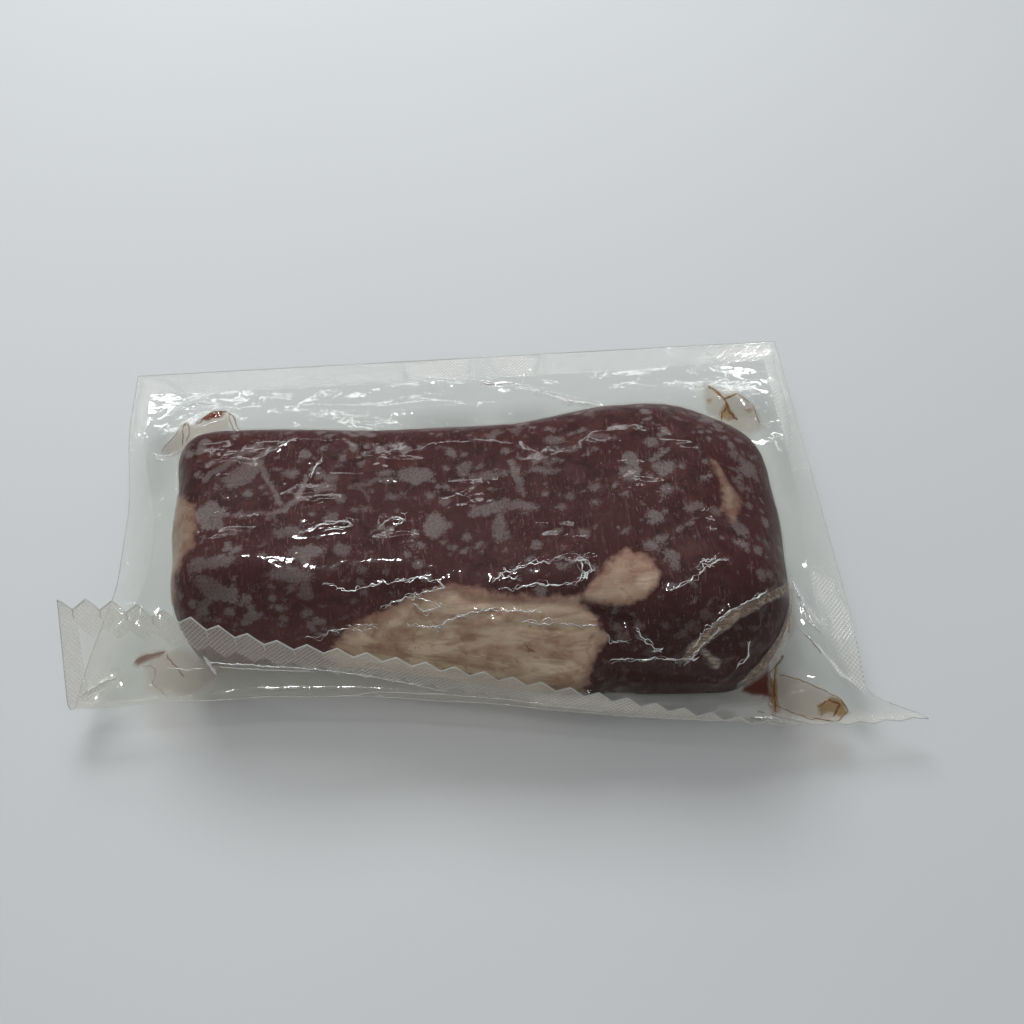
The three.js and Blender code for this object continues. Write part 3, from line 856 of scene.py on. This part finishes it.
def fat_colour(tree, middle, edge):
    here = place(tree)
    broad = step(tree, pattern(tree, here, 0.07, 3, 0.6), 0.35, 0.65)
    tone = blend_colour(tree, broad, linear(180, 149, 128), linear(206, 181, 154))
    tone = blend_colour(tree, times(tree, step(tree, middle, 0.48, 0.7), 0.6), tone, linear(140, 102, 88))
    # Pale streaks of the fat, partly its own paler tone and partly a painted highlight
    pale = step(tree, pattern(tree, place(tree, (0.05, 0.17, 0.17)), 1.0, 3, 0.55, 0.7), 0.46, 0.66)
    tone = blend_colour(tree, times(tree, pale, 0.7), tone, linear(232, 212, 188))
    streaks = step(tree, pattern(tree, place(tree, (0.07, 0.34, 0.34)), 1.0, 4, 0.65, 1.1), 0.56, 0.66)
    tone = blend_colour(tree, times(tree, streaks, 0.38), tone, linear(150, 106, 88))
    wisps = step(tree, pattern(tree, place(tree, (0.16, 0.8, 0.8)), 1.0, 3, 0.6, 0.5), 0.6, 0.72)
    tone = blend_colour(tree, times(tree, wisps, 0.35), tone, linear(238, 222, 200))
    blood = step(tree, pattern(tree, here, 0.16, 3, 0.7, 1.0), 0.64, 0.75)
    tone = blend_colour(tree, times(tree, blood, 0.75), tone, linear(124, 66, 48))
    tone = blend_colour(tree, times(tree, step(tree, edge, -3.5, -0.2), 0.5), tone, linear(138, 88, 82))
    return blend_colour(tree, times(tree, attribute(tree, "upper"), 0.3), tone, linear(112, 74, 68))


def meat_material():
    material, tree = new_material("meat_lean_and_fat")
    here = place(tree)
    middle = pattern(tree, here, 0.22, 4, 0.6, 0.6)
    fibres = pattern(tree, place(tree, (0.9, 0.16, 0.3)), 1.0, 3, 0.65, 0.4)
    fine = pattern(tree, here, 1.9, 2, 0.6)
    frost = frost_share(tree)
    lean = blend_colour(tree, frost, lean_colour(tree, middle, fibres), linear(131, 120, 120))
    fat_edge = ragged(tree, "fat", 0.35, 4.0)
    strength = plus(tree, times(tree, attribute(tree, "faint"), -0.4), 1.0)
    fat = times(tree, step(tree, fat_edge, 0.9, -1.1), strength)
    colour = blend_colour(tree, fat, lean, fat_colour(tree, middle, fat_edge))

    bump = node(tree, "ShaderNodeBump", Strength=0.35, Distance=0.0004, Height=plus(tree, fibres, fine))
    roughness = blend_colour(tree, frost, (0.4, 0.4, 0.4, 1), (0.62, 0.62, 0.62, 1))
    surface = node(tree, "ShaderNodeBsdfPrincipled", Base_Color=colour, Roughness=roughness)
    tree.links.new(bump.outputs[0], surface.inputs["Normal"])
    surface.inputs["Subsurface Weight"].default_value = 0.08
    surface.inputs["Subsurface Radius"].default_value = (0.004, 0.0015, 0.001)
    surface.inputs["Subsurface Scale"].default_value = 0.6
    surface.inputs["Specular IOR Level"].default_value = 0.05
    output(tree, surface.outputs[0])
    return material


# Pouch

def mouth_line(x):
    left = MOUTH_LEFT_OUT * ease(*MOUTH_LEFT_SPAN, x)
    right = MOUTH_RIGHT_IN * ease(*MOUTH_RIGHT_SPAN, x)
    return MOUTH_MIDDLE - left + right


def left_rim(y):
    back = RIM_LEFT_BACK_OUT * ease(*RIM_LEFT_BACK_SPAN, y)
    front = RIM_LEFT_FRONT_OUT * ease(*RIM_LEFT_FRONT_SPAN, y)
    return RIM_LEFT - back - front


def right_rim(y):
    flare = ease(MOUTH_FLARE, 0, y - mouth_line(MOUTH_TIP)) ** 2
    return mix(RIM_RIGHT, MOUTH_TIP, flare)


def tooth_depth(steps, x):
    """How far the cut edge is in from the tips of the teeth."""
    phase = (steps / TOOTH_STEPS) % 1
    return TOOTH_DEPTH * (1 - np.abs(2 * phase - 1)) * mix(1, TOOTH_LEAST, ease(*TOOTH_FADE_SPAN, x))


def rim_stations():
    """Places round the rim, and the places of the meat's box that they face."""
    mouth_count = TOOTH_COUNT * TOOTH_STEPS
    tip = float(mouth_line(MOUTH_TIP))
    mouth_left = float(left_rim(mouth_line(-MOUTH_TIP)))
    t = np.arange(mouth_count) / mouth_count
    s = np.arange(SIDE_STATIONS) / SIDE_STATIONS
    x = mix(mouth_left, MOUTH_TIP, t)
    mouth = np.stack((x, mouth_line(x) + tooth_depth(np.arange(mouth_count), x)), 1)
    y = mix(tip, RIM_BACK, s)
    right = np.stack((right_rim(y), y), 1)
    x = mix(float(right_rim(RIM_BACK)), float(left_rim(RIM_BACK)), t)
    back = np.stack((x, np.full_like(x, RIM_BACK)), 1)
    y = mix(RIM_BACK, float(mouth_line(mouth_left)), s)
    left = np.stack((left_rim(y), y), 1)
    box = np.concatenate((
        np.stack((mix(-HALF_LENGTH, HALF_LENGTH, t), np.full_like(t, -HALF_DEPTH)), 1),
        np.stack((np.full_like(s, HALF_LENGTH), mix(-HALF_DEPTH, HALF_DEPTH, s)), 1),
        np.stack((mix(HALF_LENGTH, -HALF_LENGTH, t), np.full_like(t, HALF_DEPTH)), 1),
        np.stack((np.full_like(s, -HALF_LENGTH), mix(HALF_DEPTH, -HALF_DEPTH, s)), 1),
    ))
    return np.concatenate((mouth, right, back, left)), box


def fold_line(x):
    return mix(FOLD_LEFT, FOLD_RIGHT, ease(*FOLD_TURN_SPAN, x))


def lean_angle(x):
    left = ease(*LEAN_LEFT_SPAN, x)
    right = ease(*LEAN_RIGHT_SPAN, x)
    return np.radians(mix(mix(LEAN_MIDDLE, LEAN_LEFT, left), LEAN_RIGHT, right))


def folded_point(flat):
    """Where places of the flat pouch lie once the header is folded up."""
    x, y = flat[:, 0], flat[:, 1]
    past = fold_line(x) - y
    height = mix(SHEET_HEIGHT, FOLD_HEIGHT, ease(-30, 0, past) * ease(60, -20, y))
    lean = lean_angle(x)
    turned = np.clip(past / FOLD_RADIUS, 0, lean)
    straight = np.maximum(past, 0) - turned * FOLD_RADIUS
    forward = FOLD_RADIUS * np.sin(turned) + straight * np.cos(lean)
    up = FOLD_RADIUS * (1 - np.cos(turned)) + straight * np.sin(lean)
    folded = past > 0
    return np.stack((
        x,
        np.where(folded, fold_line(x) - forward, y),
        np.where(folded, FOLD_HEIGHT + up, height),
    ), 1)


def sheet_normal(flat):
    reach = 0.4
    across = folded_point(flat + (reach, 0)) - folded_point(flat - (reach, 0))
    along = folded_point(flat + (0, reach)) - folded_point(flat - (0, reach))
    return unit(np.cross(across, along))


def tent_sizes(meat, box):
    """Rise and width of the space between the two films beside the meat."""
    at_end = np.abs(box[:, 0]) - HALF_LENGTH + TENT_WIDTH
    room = np.maximum(np.maximum(meat[:, 1] - fold_line(meat[:, 0]), at_end), meat[:, 1] + TENT_WIDTH)
    corner = ease(0.72, 1, np.abs(box[:, 0]) / HALF_LENGTH) * ease(0.5, 1, np.abs(box[:, 1]) / HALF_DEPTH)
    open_share = np.clip(room / TENT_WIDTH, TENT_LEAST, 1)
    rise = (TENT_RISE + TENT_CORNER_RISE * corner) * open_share
    width = (TENT_WIDTH + TENT_CORNER_WIDTH * corner) * open_share
    return rise, width


def with_height(box, height):
    return np.column_stack((box, np.broadcast_to(height, len(box))))


def film_waves(flat, from_rim):
    """Soft waves of the free film. The fine ones fade out towards the rim."""
    p = np.column_stack((flat, np.zeros(len(flat))))
    broad = lumps(p, 26, 11)
    fine = lumps(p * (1, 2.2, 1), 9, 12)
    return 0.9 * broad + 0.12 * fine * ease(2, 12, from_rim)


def flange_rings(rim, box, side):
    """Rings of one film from the rim in to the meat. side is 1 for the upper film and -1 for the lower."""
    wall = meat_point(with_height(box, SHEET_HEIGHT))
    meat = wall[:, :2]
    rise, width = tent_sizes(meat, box)
    rings = []
    flats = []
    from_rims = []
    way = np.linalg.norm(rim - meat, axis=1)
    for k in range(FLANGE_ROWS):
        share = 1 - k / FLANGE_ROWS
        flat = mix(meat, rim, share)
        away = way * share
        from_rim = way - away
        tent = rise * np.clip(1 - away / width, 0, 1) ** 2
        normal = sheet_normal(flat)
        lift = side * (FILM_HALF + tent) + film_waves(flat, from_rim) * ease(0, 6, away)
        if side > 0:
            pleats = sharp_ridge_height(flat, PLEATS) + sharp_ridge_height(flat, LONG_WAVES)
            lift = lift + pleats * ease(0.5, 3, from_rim)
        rings.append(folded_point(flat) + normal * lift[:, None])
        flats.append(flat)
        from_rims.append(from_rim)
    return np.array(rings), np.array(flats), np.array(from_rims), rise


def film_relief(points, normals):
    """How far the clinging film stands off the meat's plain form."""
    view = front_view(points)
    shown = ease(0.0, 0.3, normals @ FRONT_OUT)
    total = ridge_height(view, FOLDS) + ridge_height(view, FILM_RIDGES)
    for centre, half_sizes, tilt, rise in FILM_PUFFS:
        ragged = oval_distance(view, centre, half_sizes, tilt) + 0.9 * lumps(points, 2.6, 21)
        total += rise * ease(0.45, -0.45, ragged)
    creased = (1 - np.abs(lumps(points * (0.4, 1, 1), 4.5, 24))) ** 5
    return total * shown + FILM_CREASE * creased + 0.05 * lumps(points, 6, 23)


def top_grid_index(count_x, count_y, ring_start, interior_start):
    """Indices of the top face's grid: its border is the last ring, and its inner points follow."""
    index = np.zeros((count_x + 1, count_y + 1), int)
    ring = ring_start + np.arange(2 * (count_x + count_y))
    index[:-1, 0] = ring[:count_x]
    index[-1, :-1] = ring[count_x:count_x + count_y]
    index[:0:-1, -1] = ring[count_x + count_y:2 * count_x + count_y]
    index[0, :0:-1] = ring[2 * count_x + count_y:]
    inner = np.arange((count_x - 1) * (count_y - 1)).reshape(count_x - 1, count_y - 1)
    index[1:-1, 1:-1] = inner + interior_start
    return index


def build_film_top(rim, box):
    rings, flats, from_rims, rise = flange_rings(rim, box, 1)
    low = SHEET_HEIGHT + rise + SHEET / 2
    skin = [meat_point(with_height(box, mix(low, BOX_HEIGHT, k / SKIN_ROWS))) for k in range(SKIN_ROWS + 1)]
    count = len(box)
    count_x = TOOTH_COUNT * TOOTH_STEPS
    xs = np.linspace(-HALF_LENGTH, HALF_LENGTH, count_x + 1)[1:-1]
    ys = np.linspace(-HALF_DEPTH, HALF_DEPTH, SIDE_STATIONS + 1)[1:-1]
    a, b = np.meshgrid(xs, ys, indexing="ij")
    inner = meat_point(np.column_stack((a.ravel(), b.ravel(), np.full(a.size, BOX_HEIGHT))))
    shell = Shell()
    all_rings = [*rings, *skin]
    shell.add_points(np.array(all_rings))
    ring_index = np.arange(len(all_rings) * count).reshape(len(all_rings), count)
    shell.add_quads(np.column_stack((ring_index, ring_index[:, 0])))
    inner_start = shell.add_points(inner)
    shell.add_quads(top_grid_index(count_x, SIDE_STATIONS, ring_index[-1, 0], inner_start))
    data = shell.mesh("film_top")
    weld(data, 0.001)
    points, normals = read_points(data)
    on_meat = np.zeros(len(points))
    on_meat[len(rings) * count:] = 1
    points += normals * (film_relief(points, normals) * on_meat)[:, None]
    write_points(data, points)
    from_rim = np.full(len(points), FAR_FROM_RIM)
    from_rim[:len(rings) * count] = from_rims.ravel()
    flat = np.zeros((len(points), 3))
    flat[:len(rings) * count, :2] = flats.reshape(-1, 2)
    store(data, "from_rim", from_rim)
    store(data, "flat", flat)
    free = 1 - on_meat
    plan = stray(flat[:, :2], 0.8, 5, 51)
    tan = np.maximum(0.4 * stain_share(plan, (), TAN_ZONES, 1.4), 0.6 * stain_share(plan, PLEATS, (), 1))
    store(data, "tan", np.maximum(tan, stain_share(plan, (), BROWN_ZONES, 0.7)) * free)
    store(data, "juice", stain_share(stray(flat[:, :2], 0.5, 2.5, 61), (), JUICE_POOLS, 0.6) * free)
    view = front_view(points)
    gather = stain_share(stray(view, 0.5, 3, 71), (), GATHERS, 0.5)
    store(data, "gather", gather * (normals @ FRONT_OUT > 0) * on_meat)
    past_fold = fold_line(flat[:, 0]) - flat[:, 1]
    store(data, "header", ease(-2, 4, past_fold) * free)
    woven = stain_share(flat[:, :2], (), WOVEN_ZONES, 3)
    # Painted glare and painted light: a whitish haze in zones and along folds of the free film
    painted_glare = stain_share(stray(flat[:, :2], 1.4, 7, 81), (), PAINTED_GLARE_ZONES, 2)
    painted_glare = np.maximum(painted_glare, PAINTED_GLINT_FOLD_SHARE * stain_share(plan, PAINTED_GLINT_FOLDS, (), 1))
    store(data, "woven", np.maximum(woven, ease(6, 12, past_fold)) * free)
    store(data, "painted_glare", painted_glare * free)
    return add_object("film_top", data, film_material())


def build_film_under(rim, box):
    rings, flats, from_rims, rise = flange_rings(rim, box, -1)
    high = SHEET_HEIGHT - rise - SHEET / 2
    skin = [meat_point(with_height(box, mix(high, 0, k / 5))) for k in range(6)]
    foot = []
    corner_x, corner_y = corner_radii(box[:, 0], box[:, 1])
    for inset in (0.35, 0.7, 1):
        x = box[:, 0] * (1 - inset * corner_x / HALF_LENGTH)
        y = box[:, 1] * (1 - inset * corner_y / HALF_DEPTH)
        foot.append(meat_point(np.column_stack((x, y, np.zeros(len(x))))))
    count = len(box)
    all_rings = [*rings, *skin, *foot]
    shell = Shell()
    shell.add_points(np.array(all_rings))
    ring_index = np.arange(len(all_rings) * count).reshape(len(all_rings), count)
    shell.add_quads(np.column_stack((ring_index, ring_index[:, 0])))
    shell.faces.append(ring_index[-1].tolist())
    data = shell.mesh("film_under")
    from_rim = np.full(shell.count, FAR_FROM_RIM)
    from_rim[:len(rings) * count] = from_rims.ravel()
    flat = np.zeros((shell.count, 3))
    flat[:len(rings) * count, :2] = flats.reshape(-1, 2)
    store(data, "from_rim", from_rim)
    store(data, "flat", flat)
    past_fold = fold_line(flat[:, 0]) - flat[:, 1]
    store(data, "header", ease(-2, 4, past_fold) * (from_rim < FAR_FROM_RIM))
    store(data, "woven", ease(6, 12, past_fold) * (from_rim < FAR_FROM_RIM))
    for name in ("tan", "juice", "gather", "painted_glare"):
        store(data, name, np.zeros(shell.count))
    return add_object("film_under", data, bpy.data.materials["clear_film"])


def film_material():
    material, tree = new_material("clear_film")
    here = place(tree)
    flat = node(tree, "ShaderNodeAttribute", {"attribute_name": "flat"}).outputs["Vector"]
    seal = step(tree, attribute(tree, "from_rim"), SEAL_WIDTH + 0.6, SEAL_WIDTH - 0.6)
    turn = math.tau / QUILT_PITCH / math.sqrt(2)
    waves = []
    for direction in ((turn, turn, 0), (turn, -turn, 0)):
        dot = node(tree, "ShaderNodeVectorMath", {"operation": "DOT_PRODUCT"}, i0=flat)
        dot.inputs[1].default_value = direction
        waves.append(math_node(tree, "SINE", dot.outputs["Value"]))
    mesh = math_node(tree, "MAXIMUM", *waves)
    woven = plus(tree, times(tree, attribute(tree, "woven"), 0.8), 0.2)
    weave = times(tree, seal, woven)
    small = pattern(tree, here, 0.22, 2, 0.5, 0.4)
    height = plus(tree, times(tree, times(tree, mesh, weave), 0.4), small)
    bump = node(tree, "ShaderNodeBump", Strength=1.0, Distance=0.00022, Height=height)
    facing = node(tree, "ShaderNodeLayerWeight", Blend=0.5, Normal=bump.outputs[0]).outputs["Facing"]
    shine = plus(tree, times(tree, math_node(tree, "POWER", facing, 5.0), 0.34), 0.02)

    tan = attribute(tree, "tan")
    juice = attribute(tree, "juice")
    gather = attribute(tree, "gather")
    header = attribute(tree, "header")
    # Painted glare and painted light as a whitish haze, with a real rise in gloss at the same places
    painted_glare = attribute(tree, "painted_glare")
    shine = plus(tree, shine, times(tree, math_node(tree, "MINIMUM", painted_glare, 1.0), 0.14))
    ribs = step(tree, mesh, 0.72, 1.0)
    strands = step(tree, pattern(tree, place(tree, (0.24, 1.1, 0.8)), 1.0, 3, 0.6, 0.6), 0.38, 0.7)
    patchy = step(tree, pattern(tree, place(tree), 0.13, 3, 0.6), 0.32, 0.6)
    glare = plus(tree, times(tree, times(tree, ribs, weave), 0.9), plus(tree, times(tree, patchy, 0.1), 0.08))
    haze = plus(tree, times(tree, seal, 0.05), 0.006)
    for share in (
        times(tree, times(tree, ribs, weave), plus(tree, times(tree, header, 0.14), 0.12)),
        times(tree, tan, 0.12),
        times(tree, gather, plus(tree, times(tree, strands, 0.45), 0.3)),
        times(tree, painted_glare, glare),
        times(tree, header, 0.1),
        times(tree, juice, 0.4),
    ):
        haze = plus(tree, haze, share)
    through = blend_colour(tree, tan, (0.966, 0.972, 0.958, 1), linear(188, 158, 120))
    through = blend_colour(tree, juice, through, linear(150, 72, 48))
    milk_colour = blend_colour(tree, header, linear(236, 236, 231), linear(240, 232, 222))
    milk_colour = blend_colour(tree, tan, milk_colour, linear(176, 146, 108))
    milk_colour = blend_colour(tree, gather, milk_colour, linear(184, 164, 144))
    milk_colour = blend_colour(tree, juice, milk_colour, linear(74, 28, 16))

    clear = node(tree, "ShaderNodeBsdfTransparent", Color=through)
    milk = node(tree, "ShaderNodeBsdfDiffuse", Color=milk_colour, Normal=bump.outputs[0])
    gloss = node(tree, "ShaderNodeBsdfGlossy", Color=(1, 1, 1, 1), Roughness=0.07, Normal=bump.outputs[0])
    body = node(tree, "ShaderNodeMixShader", i0=haze, i1=clear.outputs[0], i2=milk.outputs[0])
    surface = node(tree, "ShaderNodeMixShader", i0=shine, i1=body.outputs[0], i2=gloss.outputs[0])
    output(tree, surface.outputs[0])
    return material


def edge_material():
    material, tree = new_material("cut_edge")
    clear = node(tree, "ShaderNodeBsdfTransparent", Color=(0.97, 0.98, 0.97, 1))
    pale = node(tree, "ShaderNodeBsdfPrincipled", Base_Color=linear(214, 216, 213), Roughness=0.3)
    surface = node(tree, "ShaderNodeMixShader", i0=0.55, i1=clear.outputs[0], i2=pale.outputs[0])
    output(tree, surface.outputs[0])
    return material


def add_tube(shell, line, radii, closed):
    """A tube with TUBE_SIDES sides along a line of points."""
    ahead = np.roll(line, -1, axis=0) if closed else np.concatenate((line[1:], line[-1:] * 2 - line[-2:-1]))
    behind = np.roll(line, 1, axis=0) if closed else np.concatenate((line[:1] * 2 - line[1:2], line[:-1]))
    way = unit(ahead - behind)
    side = unit(np.cross(way, (0.1, 0.2, 0.97)))
    rise = np.cross(side, way)
    rings = []
    for k in range(TUBE_SIDES):
        turn = math.tau * k / TUBE_SIDES
        rings.append(line + (side * math.cos(turn) + rise * math.sin(turn)) * radii[:, None])
    grid = np.array(rings)
    if closed:
        grid = np.concatenate((grid, grid[:, :1]), axis=1)
    start = shell.add_points(grid)
    index = np.arange(grid.shape[0] * grid.shape[1]).reshape(grid.shape[:2]) + start
    shell.add_quads(np.concatenate((index, index[:1])))


def wander(line, reach, seed):
    """A line cut into short steps that stray a little to each side."""
    line = np.array(line, float)
    lengths = np.linalg.norm(np.diff(line, axis=0), axis=1)
    distance = np.concatenate(((0,), np.cumsum(lengths)))
    at = np.linspace(0, distance[-1], max(4, round(distance[-1] / CREASE_STEP)))
    path = np.stack([np.interp(at, distance, line[:, k]) for k in range(2)], 1)
    for k in range(2):
        spots = np.column_stack((at, np.full_like(at, seed * 3.1 + k * 40), np.zeros_like(at)))
        path[:, k] += reach * (lumps(spots, 4.0) + 1.2 * lumps(spots, 1.3, 4))
    spots = np.column_stack((at, np.full_like(at, seed * 5.7), np.ones_like(at)))
    thickness = 0.5 + 0.9 * lumps(spots, 2.4, 8) + 0.5 * lumps(spots, 0.8, 9)
    ends = ease(0, 1, at) * ease(at[-1], at[-1] - 1, at)
    return path, np.clip(thickness, 0.12, 1.3) * (0.2 + 0.8 * ends)


def on_clinging_film(tree, path):
    """Points of the clinging film that the front view plane's places stand for, and which of them exist."""
    points = []
    found = []
    for x, w in path:
        start = np.array((x, 0, 0)) + w * FRONT_UP + 200 * FRONT_OUT
        hit = tree.ray_cast(Vector(start * MM), Vector(-unit(FRONT_OUT)))[0]
        found.append(hit is not None)
        if hit is not None:
            points.append(np.array(hit) / MM)
    return np.array(points), np.array(found)


def on_free_film(rings, flats, path):
    """Points of the free upper film at places of the flat pouch, from the nearest points of its mesh."""
    flats = flats.reshape(-1, 2)
    rings = rings.reshape(-1, 3)
    points = []
    for place_at in path:
        distance = np.linalg.norm(flats - place_at, axis=1)
        nearest = np.argpartition(distance, 4)[:4]
        weight = 1 / (distance[nearest] + 0.05)
        points.append((rings[nearest] * weight[:, None]).sum(0) / weight.sum())
    return np.array(points)


def build_creases(film, rim, box):
    """Fine creases of the film, whitened as a painted glint, and the stained ones at the corners."""
    bright = Shell()
    corners = [vertex.co for vertex in film.data.vertices]
    tree = BVHTree.FromPolygons(corners, [polygon.vertices for polygon in film.data.polygons])
    for seed, crease in enumerate(CREASES):
        for strand in range(2):
            path, thickness = wander(crease, CREASE_WANDER * (1 + strand), seed + 80 * strand)
            points, found = on_clinging_film(tree, path)
            if len(points) > 3:
                add_tube(bright, points, CREASE_RADIUS * (1 - 0.45 * strand) * thickness[found], False)
    rings, flats, _, _ = flange_rings(rim, box, 1)
    for seed, (crease, width) in enumerate(FREE_CREASES):
        path, thickness = wander(crease, CREASE_WANDER * 0.5, seed + 50)
        radii = CREASE_RADIUS * width * (0.4 + 0.6 * thickness)
        add_tube(bright, on_free_film(rings, flats, path) + (0, 0, 0.1), radii, False)
    hem = [(x, float(fold_line(x)) - HEM_PAST_FOLD) for x in range(*HEM_SPAN)]
    path, thickness = wander(hem, CREASE_WANDER * 0.3, 90)
    add_tube(bright, on_free_film(rings, flats, path), HEM_RADIUS * (0.5 + 0.5 * thickness), False)
    stained = Shell()
    for seed, (crease, width) in enumerate(STAINED_CREASES):
        path, thickness = wander(crease, CREASE_WANDER * 0.5, seed + 150)
        add_tube(stained, on_free_film(rings, flats, path), width * (0.5 + 0.5 * thickness), False)
    return (
        add_object("film_creases", bright.mesh("film_creases"), crease_material()),
        add_object("stained_creases", stained.mesh("stained_creases"), stained_material()),
    )


def stained_material():
    material, tree = new_material("juice_stain")
    tone = pattern(tree, place(tree), 0.35, 2)
    colour = blend_colour(tree, step(tree, tone, 0.4, 0.62), linear(150, 104, 66), linear(96, 50, 32))
    clear = node(tree, "ShaderNodeBsdfTransparent", Color=(0.9, 0.8, 0.66, 1))
    stain = node(tree, "ShaderNodeBsdfPrincipled", Base_Color=colour, Roughness=0.25)
    surface = node(tree, "ShaderNodeMixShader", i0=0.35, i1=clear.outputs[0], i2=stain.outputs[0])
    output(tree, surface.outputs[0])
    return material


def crease_material():
    material, tree = new_material("film_crease_painted_glint")
    clear = node(tree, "ShaderNodeBsdfTransparent", Color=(0.97, 0.98, 0.97, 1))
    # The white diffuse part is a painted glint; the gloss is real
    painted_glare = node(tree, "ShaderNodeBsdfDiffuse", Color=(0.95, 0.96, 0.96, 1))
    gloss = node(tree, "ShaderNodeBsdfGlossy", Color=(1, 1, 1, 1), Roughness=0.22)
    body = node(tree, "ShaderNodeMixShader", i0=0.45, i1=painted_glare.outputs[0], i2=gloss.outputs[0])
    surface = node(tree, "ShaderNodeMixShader", i0=0.66, i1=clear.outputs[0], i2=body.outputs[0])
    output(tree, surface.outputs[0])
    return material


def build_edges(rim):
    """The cut edge all round, and the short nicks under the teeth of the left half."""
    shell = Shell()
    line = folded_point(rim)
    mouth_count = TOOTH_COUNT * TOOTH_STEPS
    cut = np.arange(len(rim)) <= mouth_count
    add_tube(shell, line, np.where(cut, CUT_EDGE_RADIUS, RIM_EDGE_RADIUS), True)
    normal = sheet_normal(rim)
    for tooth in range(TOOTH_COUNT):
        valley = rim[tooth * TOOTH_STEPS + TOOTH_STEPS // 2]
        if valley[0] > NICKS_UP_TO:
            continue
        share = np.linspace(0, 1, 5)[:, None]
        flat = valley + share * (0, NICK_LENGTH)
        out = sheet_normal(flat) * FILM_HALF
        add_tube(shell, folded_point(flat) - out, np.full(5, RIM_EDGE_RADIUS), False)
    return add_object("film_edges", shell.mesh("film_edges"), edge_material())


# Scene

CAMERA_PLACE = (-0.69, -153.39, 283.12)
CAMERA_DOWN = 58
CAMERA_TURN = 4.1
CAMERA_LENS = 35.16
CAMERA_SENSOR = 36
FLOOR_HALF = 3000
FLOOR_DOWN = 0.05
WORLD_STRENGTH = 0.34


def add_camera():
    data = bpy.data.cameras.new("camera")
    data.lens = CAMERA_LENS
    data.sensor_width = CAMERA_SENSOR
    data.clip_start = 0.01
    camera = bpy.data.objects.new("camera", data)
    camera.location = Vector(CAMERA_PLACE) * MM
    camera.rotation_euler = (math.radians(90 - CAMERA_DOWN), 0, -math.radians(CAMERA_TURN))
    bpy.context.scene.collection.objects.link(camera)
    bpy.context.scene.camera = camera


def add_area(name, place_mm, target_mm, size_mm, watts, colour=(1, 1, 1), seen_by=("diffuse", "glossy")):
    data = bpy.data.lights.new(name, "AREA")
    data.shape = "RECTANGLE"
    data.size, data.size_y = (s * MM for s in size_mm)
    data.energy = watts
    data.color = colour
    lamp = bpy.data.objects.new(name, data)
    lamp.location = Vector(place_mm) * MM
    lamp.rotation_euler = (Vector(target_mm) - Vector(place_mm)).to_track_quat("-Z", "Y").to_euler()
    lamp.visible_diffuse = "diffuse" in seen_by
    lamp.visible_glossy = "glossy" in seen_by
    bpy.context.scene.collection.objects.link(lamp)


def add_floor():
    shell = Shell()
    line = np.array((-FLOOR_HALF, FLOOR_HALF), float)
    x, y = np.meshgrid(line, line, indexing="ij")
    shell.add_grid(np.stack((x, y, np.full_like(x, -FLOOR_DOWN)), -1))
    material, tree = new_material("pale_floor")
    tone = pattern(tree, place(tree), 0.004, 2)
    colour = blend_colour(tree, tone, linear(206, 209, 210), linear(212, 215, 216))
    surface = node(tree, "ShaderNodeBsdfPrincipled", Base_Color=colour, Roughness=0.6)
    output(tree, surface.outputs[0])
    add_object("floor", shell.mesh("floor"), material)


def add_world():
    world = bpy.data.worlds.new("world")
    bpy.context.scene.world = world
    world.use_nodes = True
    background = world.node_tree.nodes["Background"]
    background.inputs["Color"].default_value = (0.97, 0.98, 1.0, 1)
    background.inputs["Strength"].default_value = WORLD_STRENGTH


def main():
    add_camera()
    add_world()
    add_floor()
    add_area("key", (-110, 820, 780), (0, -20, 0), (520, 420), 8.3, (0.96, 0.98, 1.0), seen_by=("diffuse",))
    add_area("fill", (-200, -300, 1300), (0, 0, 0), (900, 900), 1.75, (1.0, 0.96, 0.91), seen_by=("diffuse",))
    add_area("glint", (-320, 300, 1460), (0, 0, 20), (110, 110), 11, seen_by=("glossy",))
    add_area("tube", (0, 1080, 1040), (0, 40, 15), (1500, 70), 4.0, seen_by=("glossy",))
    add_area("haze", (-60, 720, 1330), (0, 0, 30), (800, 260), 0.06, seen_by=("glossy",))

    meat = build_meat()
    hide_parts("steak")
    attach(meat, "root")

    rim, box = rim_stations()
    film_top = build_film_top(rim, box)
    film_under = build_film_under(rim, box)
    film_edges = build_edges(rim)
    creases = build_creases(film_top, rim, box)
    for film in (film_top, film_under, film_edges, *creases):
        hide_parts("pouch")
        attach(film, "root")

    scene = bpy.context.scene
    scene.cycles.transparent_max_bounces = 24
    scene.view_settings.view_transform = "Standard"


main()
